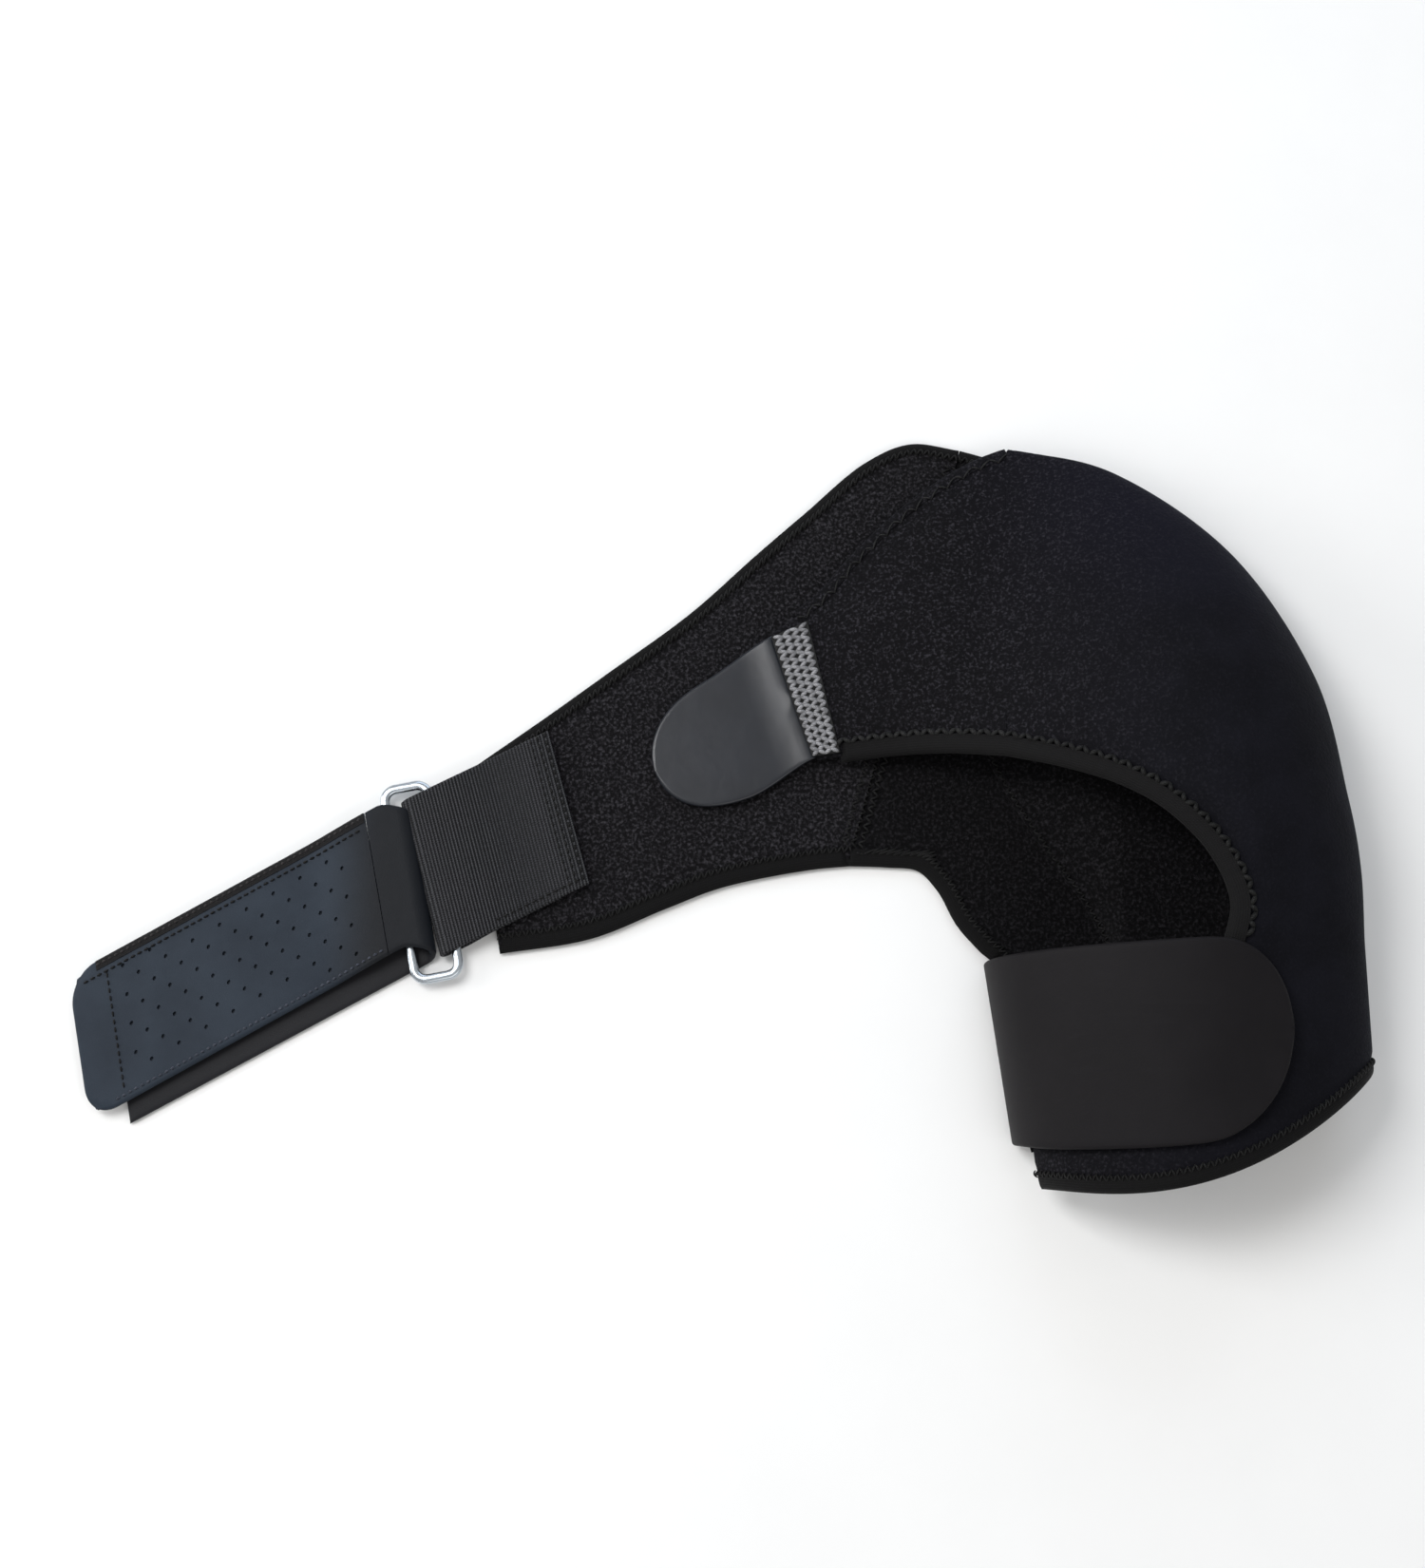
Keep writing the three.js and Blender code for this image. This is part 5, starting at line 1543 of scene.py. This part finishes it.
def triangulated(outline, circles, spacing=2.4):
    """Triangles over a flat outline, with a ring of points round each circle and nothing inside it."""
    low, high = outline.min(0) + 1.5, outline.max(0) - 1
    gx, gy = np.meshgrid(np.arange(low[0], high[0], spacing), np.arange(low[1], high[1], spacing))
    grid = np.column_stack([gx.ravel(), gy.ravel()])
    nearest = np.linalg.norm(grid[:, None] - outline[None], axis=-1).min(1)
    grid = grid[nearest > 1.2]
    points = [outline, grid]
    if len(circles):
        apart = np.linalg.norm(grid[:, None] - circles[None], axis=-1).min(1)
        grid = grid[apart > HOLE_RADIUS + 0.6]
        angle = np.linspace(0, 2 * math.pi, HOLE_SIDES, endpoint=False)
        ring = circles[:, None] + HOLE_RADIUS * np.stack([np.cos(angle), np.sin(angle)], -1)
        points = [outline, grid, ring.reshape(-1, 2)]
    points = np.concatenate(points)
    count = len(outline)
    first_ring = count + len(grid)
    edges = closed_loop(0, count)
    for k in range(len(circles)):
        edges += closed_loop(first_ring + HOLE_SIDES * k, HOLE_SIDES)
    made, _, faces, origin, _, _ = delaunay_2d_cdt([Vector(p) for p in points], edges, [], 0, 1e-5)
    corners = np.array(faces)
    xy = np.array([tuple(p) for p in made])
    middle = xy[corners].mean(1)
    if len(circles):
        apart = np.linalg.norm(middle[:, None] - circles[None], axis=-1).min(1)
        corners = corners[apart > HOLE_RADIUS]
    old = np.array([o[0] for o in origin])
    return points, old[corners], first_ring


def perforated_strap():
    """The strap's tail: a slab with round edges and rows of blind holes in its upper face."""
    half = STRAP_THICKNESS / 2
    outline, outward = tail_outline(half)
    circles = hole_centres()
    top_xy, top_faces, first_ring = triangulated(outline, circles)
    bottom_xy, bottom_faces, _ = triangulated(outline, np.zeros((0, 2)))
    count = len(outline)
    levels = np.radians(np.linspace(90, -90, 9))[1:-1]
    rim = [outline + outward * half * math.cos(a) for a in levels]
    heights = [np.full(len(top_xy), half), np.full(len(bottom_xy), -half)]
    heights += [np.full(count, half * math.sin(a)) for a in levels]
    flat = [top_xy, bottom_xy, *rim]
    rows = [np.arange(count)]
    start = len(top_xy) + len(bottom_xy)
    rows += [start + count * k + np.arange(count) for k in range(len(rim))]
    rows.append(len(top_xy) + np.arange(count))
    faces = top_faces.tolist() + (bottom_faces[:, ::-1] + len(top_xy)).tolist()
    for upper, lower in zip(rows, rows[1:]):
        faces += np.stack([upper, np.roll(upper, -1), np.roll(lower, -1), lower], -1)[:, ::-1].tolist()
    floors = start + count * len(rim)
    ring = top_xy[first_ring:]
    flat.append(ring)
    heights.append(np.full(len(ring), half - HOLE_DEPTH))
    for k in range(len(circles)):
        i = HOLE_SIDES * k + np.arange(HOLE_SIDES)
        top, floor = first_ring + i, floors + i
        faces += np.stack([top, floor, np.roll(floor, -1), np.roll(top, -1)], -1)[:, ::-1].tolist()
        faces.append(floor.tolist())
    flat, height = np.concatenate(flat), np.concatenate(heights)
    points = on_tail(flat[:, 0], flat[:, 1], height)
    cloth = np.column_stack([flat, height])
    piece = mesh_object("chest_strap_top", points, faces, PERFORATED, cloth, 40)
    facing_out(piece.data)
    piece["area_m2"] = STRAP_WIDTH * STRAP_TAIL * MM * MM
    return piece


def facing_out(mesh):
    """Turns the faces of a closed mesh so that they all face out of it."""
    work = bmesh.new()
    work.from_mesh(mesh)
    bmesh.ops.recalc_face_normals(work, faces=work.faces)
    work.to_mesh(mesh)
    work.free()


def on_strap_tail(piece, slot, *nodes):
    """A piece of the tail, which bends as the tail peels."""
    finished(piece, slot, *nodes)
    pivot = np.array(joints["strap_peel"]["pos_m"])
    end = pivot - direction(STRAP_ANGLE) * TAIL_BEND * MM
    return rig.blend(piece, "chest_strap", "strap_tail", start=pivot, end=end)


def tail_row(name, run, across, material, **shape):
    """Running stitches on the tail through a line of needle points."""
    points = on_tail(run, across, np.full_like(run, STRAP_THICKNESS / 2 + 0.1))
    up = np.tile([0.0, 0.0, 1.0], (len(run) // 2, 1))
    return stitches(name, points[0:len(up) * 2:2], points[1:len(up) * 2:2], up, material, **shape)


def needle_points(start, stop, stitch=2.0, skip=0.9):
    """Distances where running stitches go in and out."""
    starts = np.arange(start, stop - stitch, stitch + skip)
    return np.stack([starts, starts + stitch], -1).ravel()


def chest_strap():
    bar_z = RING_CENTRE[2]
    radius = WIRE_RADIUS + GAP + STRAP_THICKNESS / 2
    line = (
        [(-STRAP_UNDER, STRAP_THICKNESS / 2), (-40, STRAP_THICKNESS / 2)]
        + eased((-12, STRAP_THICKNESS / 2), (-2, bar_z - radius))
        + arc(STRAP_SLACK, bar_z, radius, -90, 90)
        + [(-4, bar_z + radius), (-STRAP_FOLD, bar_z + radius)]
    )
    length = side_length(line)
    turn_share = 1 - (STRAP_FOLD + math.pi * radius) / length

    def shift(u):
        under = lerp(UNDER_OFFSET + 1.8, UNDER_OFFSET, np.clip(u / turn_share, 0, 1))
        return lerp(under, TAIL_OFFSET, smoothstep(u, turn_share - 0.03, 0.97))

    surface = band_surface(line, STRAP_ORIGIN, STRAP_ANGLE, STRAP_WIDTH / 2, shift=shift)
    under = sheet("chest_strap_under", surface, STRAP_THICKNESS, PERFORATED, spacing=(1.6, 1.6), butt=("u1",))
    finished(under, "perforated_strap", "chest_strap", body="chest_strap")
    cloth_piece(under, length, STRAP_WIDTH, "folded")

    top = perforated_strap()
    cloth_piece(on_strap_tail(top, "perforated_strap", "chest_strap_tail"), STRAP_TAIL, STRAP_WIDTH, "laid")
    strap_border()
    strap_stitching()


def strap_border():
    """The tape along the tail's upper side, turned over its round edge."""
    half, turn = STRAP_WIDTH / 2, 1.2

    def border_surface(u, v):
        run, across = lerp(0.5, STRAP_TAIL - STRAP_TIP, u), lerp(half - BORDER_WIDTH, half - 0.05, v)
        fall = np.clip((across - half + turn) / turn, 0, 1)
        return on_tail(run, across, STRAP_THICKNESS / 2 * np.sqrt(1 - fall**2) + 0.15)

    border = sheet("chest_strap_border", border_surface, 0.4, BORDER_CLOTH, spacing=(1.2, 0.4))
    on_strap_tail(border, "perforated_strap")


def strap_stitching():
    """Rows along both sides of the tail, and one across it near its tip."""
    half = STRAP_WIDTH / 2
    long_row = needle_points(3, STRAP_TAIL - 4)
    cross_row = needle_points(5 - half, half - 5)
    rows = [
        tail_row("top_line", long_row, 0 * long_row + half - 5.5, BLACK_THREAD, radius=0.4),
        tail_row("end_line", 0 * cross_row + STRAP_TAIL - 16, cross_row, BLACK_THREAD, radius=0.35),
    ]
    on_strap_tail(joined("chest_strap_stitching", *rows), "seam_thread")
    dots = needle_points(2, STRAP_TAIL - STRAP_TIP, stitch=1.3, skip=1.3)
    rows = [
        tail_row("bottom_line", dots, 0 * dots - half + 2.6, DOT_THREAD, radius=0.4),
        tail_row("border_line", dots, 0 * dots + half - 1.7, BROWN_THREAD, radius=0.42, lift=0.5),
    ]
    on_strap_tail(joined("chest_strap_border_stitching", *rows), "seam_thread")


# ---------------------------------------------------------------- cold pack and pocket


PACK_BASE = FOAM + GAP + 0.2  # underside of the pack
PACK_FLANGE = 0.35  # half thickness of the weld round the pack
PACK_FULL = 9  # how far in from the weld the pack reaches its full thickness
WELD_PITCH, WELD_WIDTH, WELD_DEPTH = 18.7, 1.6, 0.72
POCKET_FRONT, POCKET_BACK = -72, 56
POCKET_LEFT = [141, 141, 132, 117.5, 104, 94, 88]  # at even steps from its front to its back
POCKET_RIGHT = [210, 210, 210, 208, 205, 200, 192]


def pack_surface(u, v):
    """The middle of the pack, which narrows towards the back."""
    y = lerp(PACK_FRONT, PACK_BACK, v)
    narrowed = lerp(PACK_FRONT_RIGHT, PACK_BACK_RIGHT, np.clip(y / PACK_BACK, 0, 1))
    return xyz(lerp(PACK_LEFT, narrowed, u), y, PACK_BASE + PACK_THICKNESS / 2)


def pack_half(points, u, v):
    """Half thickness of the pack: full of gel, but pinched along its channels and flat round its edge."""
    x, y = points[..., 0] - PACK_LEFT, points[..., 1] - PACK_FRONT
    width = points[-1:, :, 0] - PACK_LEFT
    border = np.minimum.reduce([x, width - x, y, PACK_BACK - PACK_FRONT - y])
    full = np.sqrt(np.clip(border / PACK_FULL, 0, 1))
    from_weld = np.abs((y + 9.3) % WELD_PITCH - WELD_PITCH / 2)
    pinch = WELD_DEPTH * np.exp(-(from_weld / WELD_WIDTH) ** 2)
    channel = 1 - pinch * smoothstep(np.minimum(x, width - x), 9, 13)
    return PACK_FLANGE + (PACK_THICKNESS / 2 - PACK_FLANGE) * full * channel * smoothstep(border, 3.0, 4.5)


def gel_pack():
    """Two films welded round their edge and along channels, full of gel."""
    pack = sheet("gel_pack", pack_surface, 0.7, FILM, spacing=(1.1, 1.1), body_half=pack_half)
    finished(pack, "gel_film", "cold_pack", body="cold_pack")
    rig.padded(pack, fill=0.8)


def pocket_surface(u, v):
    """The lining: sewn down along its left side, and raised over the pack, open at the front."""
    low = FOAM + 0.25
    high = PACK_BASE + PACK_THICKNESS + GAP + 0.5
    left = along(POCKET_LEFT, v)
    x = lerp(left, along(POCKET_RIGHT, v), u)
    over_pack = np.clip((x - left) / (PACK_LEFT - 1 - left), 0, 1)
    beside = np.minimum(over_pack, (1 - u) * 16)
    rise = smoothstep(np.minimum(beside, (1 - v) * 10), 0, 1)
    return xyz(x, lerp(POCKET_FRONT, POCKET_BACK, v), lerp(low, high, rise))


def pocket():
    skin = sheet("pocket_skin", pocket_surface, 0.9, SHADED_LINING, spacing=(1.6, 1.6))
    cloth_piece(finished(skin, "pocket_cloth", "pocket_lining", body="shell"), 105, 128, "laid")
    t = edge_steps(pocket_surface, "u0", 1.5, 0.01, 0.99)
    corners, normal = zigzag(pocket_surface, "u0", t, 0.8, 2.6, 0.5)
    sewn = zigzag_stitches("pocket_stitching", corners, normal, BLACK_THREAD, radius=0.28)
    finished(sewn, "seam_thread", body="shell")


# ---------------------------------------------------------------- set, light and camera


def pointed(thing, place, aim):
    """Puts a light or a camera at a place, looking at a point."""
    thing.location = place
    thing.rotation_euler = (Vector(aim) - Vector(place)).to_track_quat("-Z", "Y").to_euler()
    bpy.context.scene.collection.objects.link(thing)
    return thing


def area_light(name, place, aim, size, power, colour=(1, 1, 1)):
    light = bpy.data.lights.new(name, "AREA")
    light.shape = "RECTANGLE"
    light.size, light.size_y = size
    light.energy = power
    light.color = colour
    pointed(bpy.data.objects.new(name, light), place, aim)


def studio():
    bpy.ops.mesh.primitive_plane_add(size=8)
    floor = bpy.context.object
    floor.name = "table_top"
    floor.data.materials.append(table_top())
    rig.stage(floor)

    area_light("key", (-0.62, 0.32, 1.25), (0, 0, 0), (0.5, 0.7), 11)
    area_light("sky", (0.4, 1.7, 1.0), (0.05, 0, 0), (1.6, 0.9), 9, (0.72, 0.84, 1))
    area_light("window", (-1.5, 0.25, 0.55), (0, 0, 0), (0.8, 0.8), 10)
    area_light("fill", (0.7, -1.3, 1.5), (0, 0, 0), (1.6, 1.2), 8, (1, 0.98, 0.95))
    world = bpy.data.worlds.new("studio")
    world.use_nodes = True
    background = world.node_tree.nodes["Background"]
    background.inputs["Color"].default_value = (1, 1, 1, 1)
    background.inputs["Strength"].default_value = 0.45
    bpy.context.scene.world = world
    bpy.context.scene.view_settings.view_transform = "Standard"


def camera():
    """Looks down on the wrap from its front, 12 degrees off the vertical, from a metre away."""
    elevation = math.radians(78)
    aim = placed([-4.1, 13.8, 20])
    place = aim + np.array([0, -math.cos(elevation), math.sin(elevation)])
    made = bpy.data.objects.new("camera", bpy.data.cameras.new("camera"))
    made.data.lens = 63.3
    made.data.sensor_width = 36
    bpy.context.scene.camera = pointed(made, place, aim)


def hook_patches():
    """The hook patches are the CAD's own, in hook tape."""
    for name in ("front_tab_hooks", "cuff_strap_hooks", "chest_strap_hooks"):
        node = frame["nodes"][name]
        node.data.materials.clear()
        node.data.materials.append(HOOKS)


panels()
edgings()
seams()
front_tab()
cuff()
ring_wire()
elastic()
chest_strap()
gel_pack()
pocket()
hook_patches()
studio()
camera()

low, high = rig.bounds()
with open("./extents.json", "w") as out:
    json.dump({"cad": [list(cad_low), list(cad_high)], "scene": [list(low), list(high)]}, out)
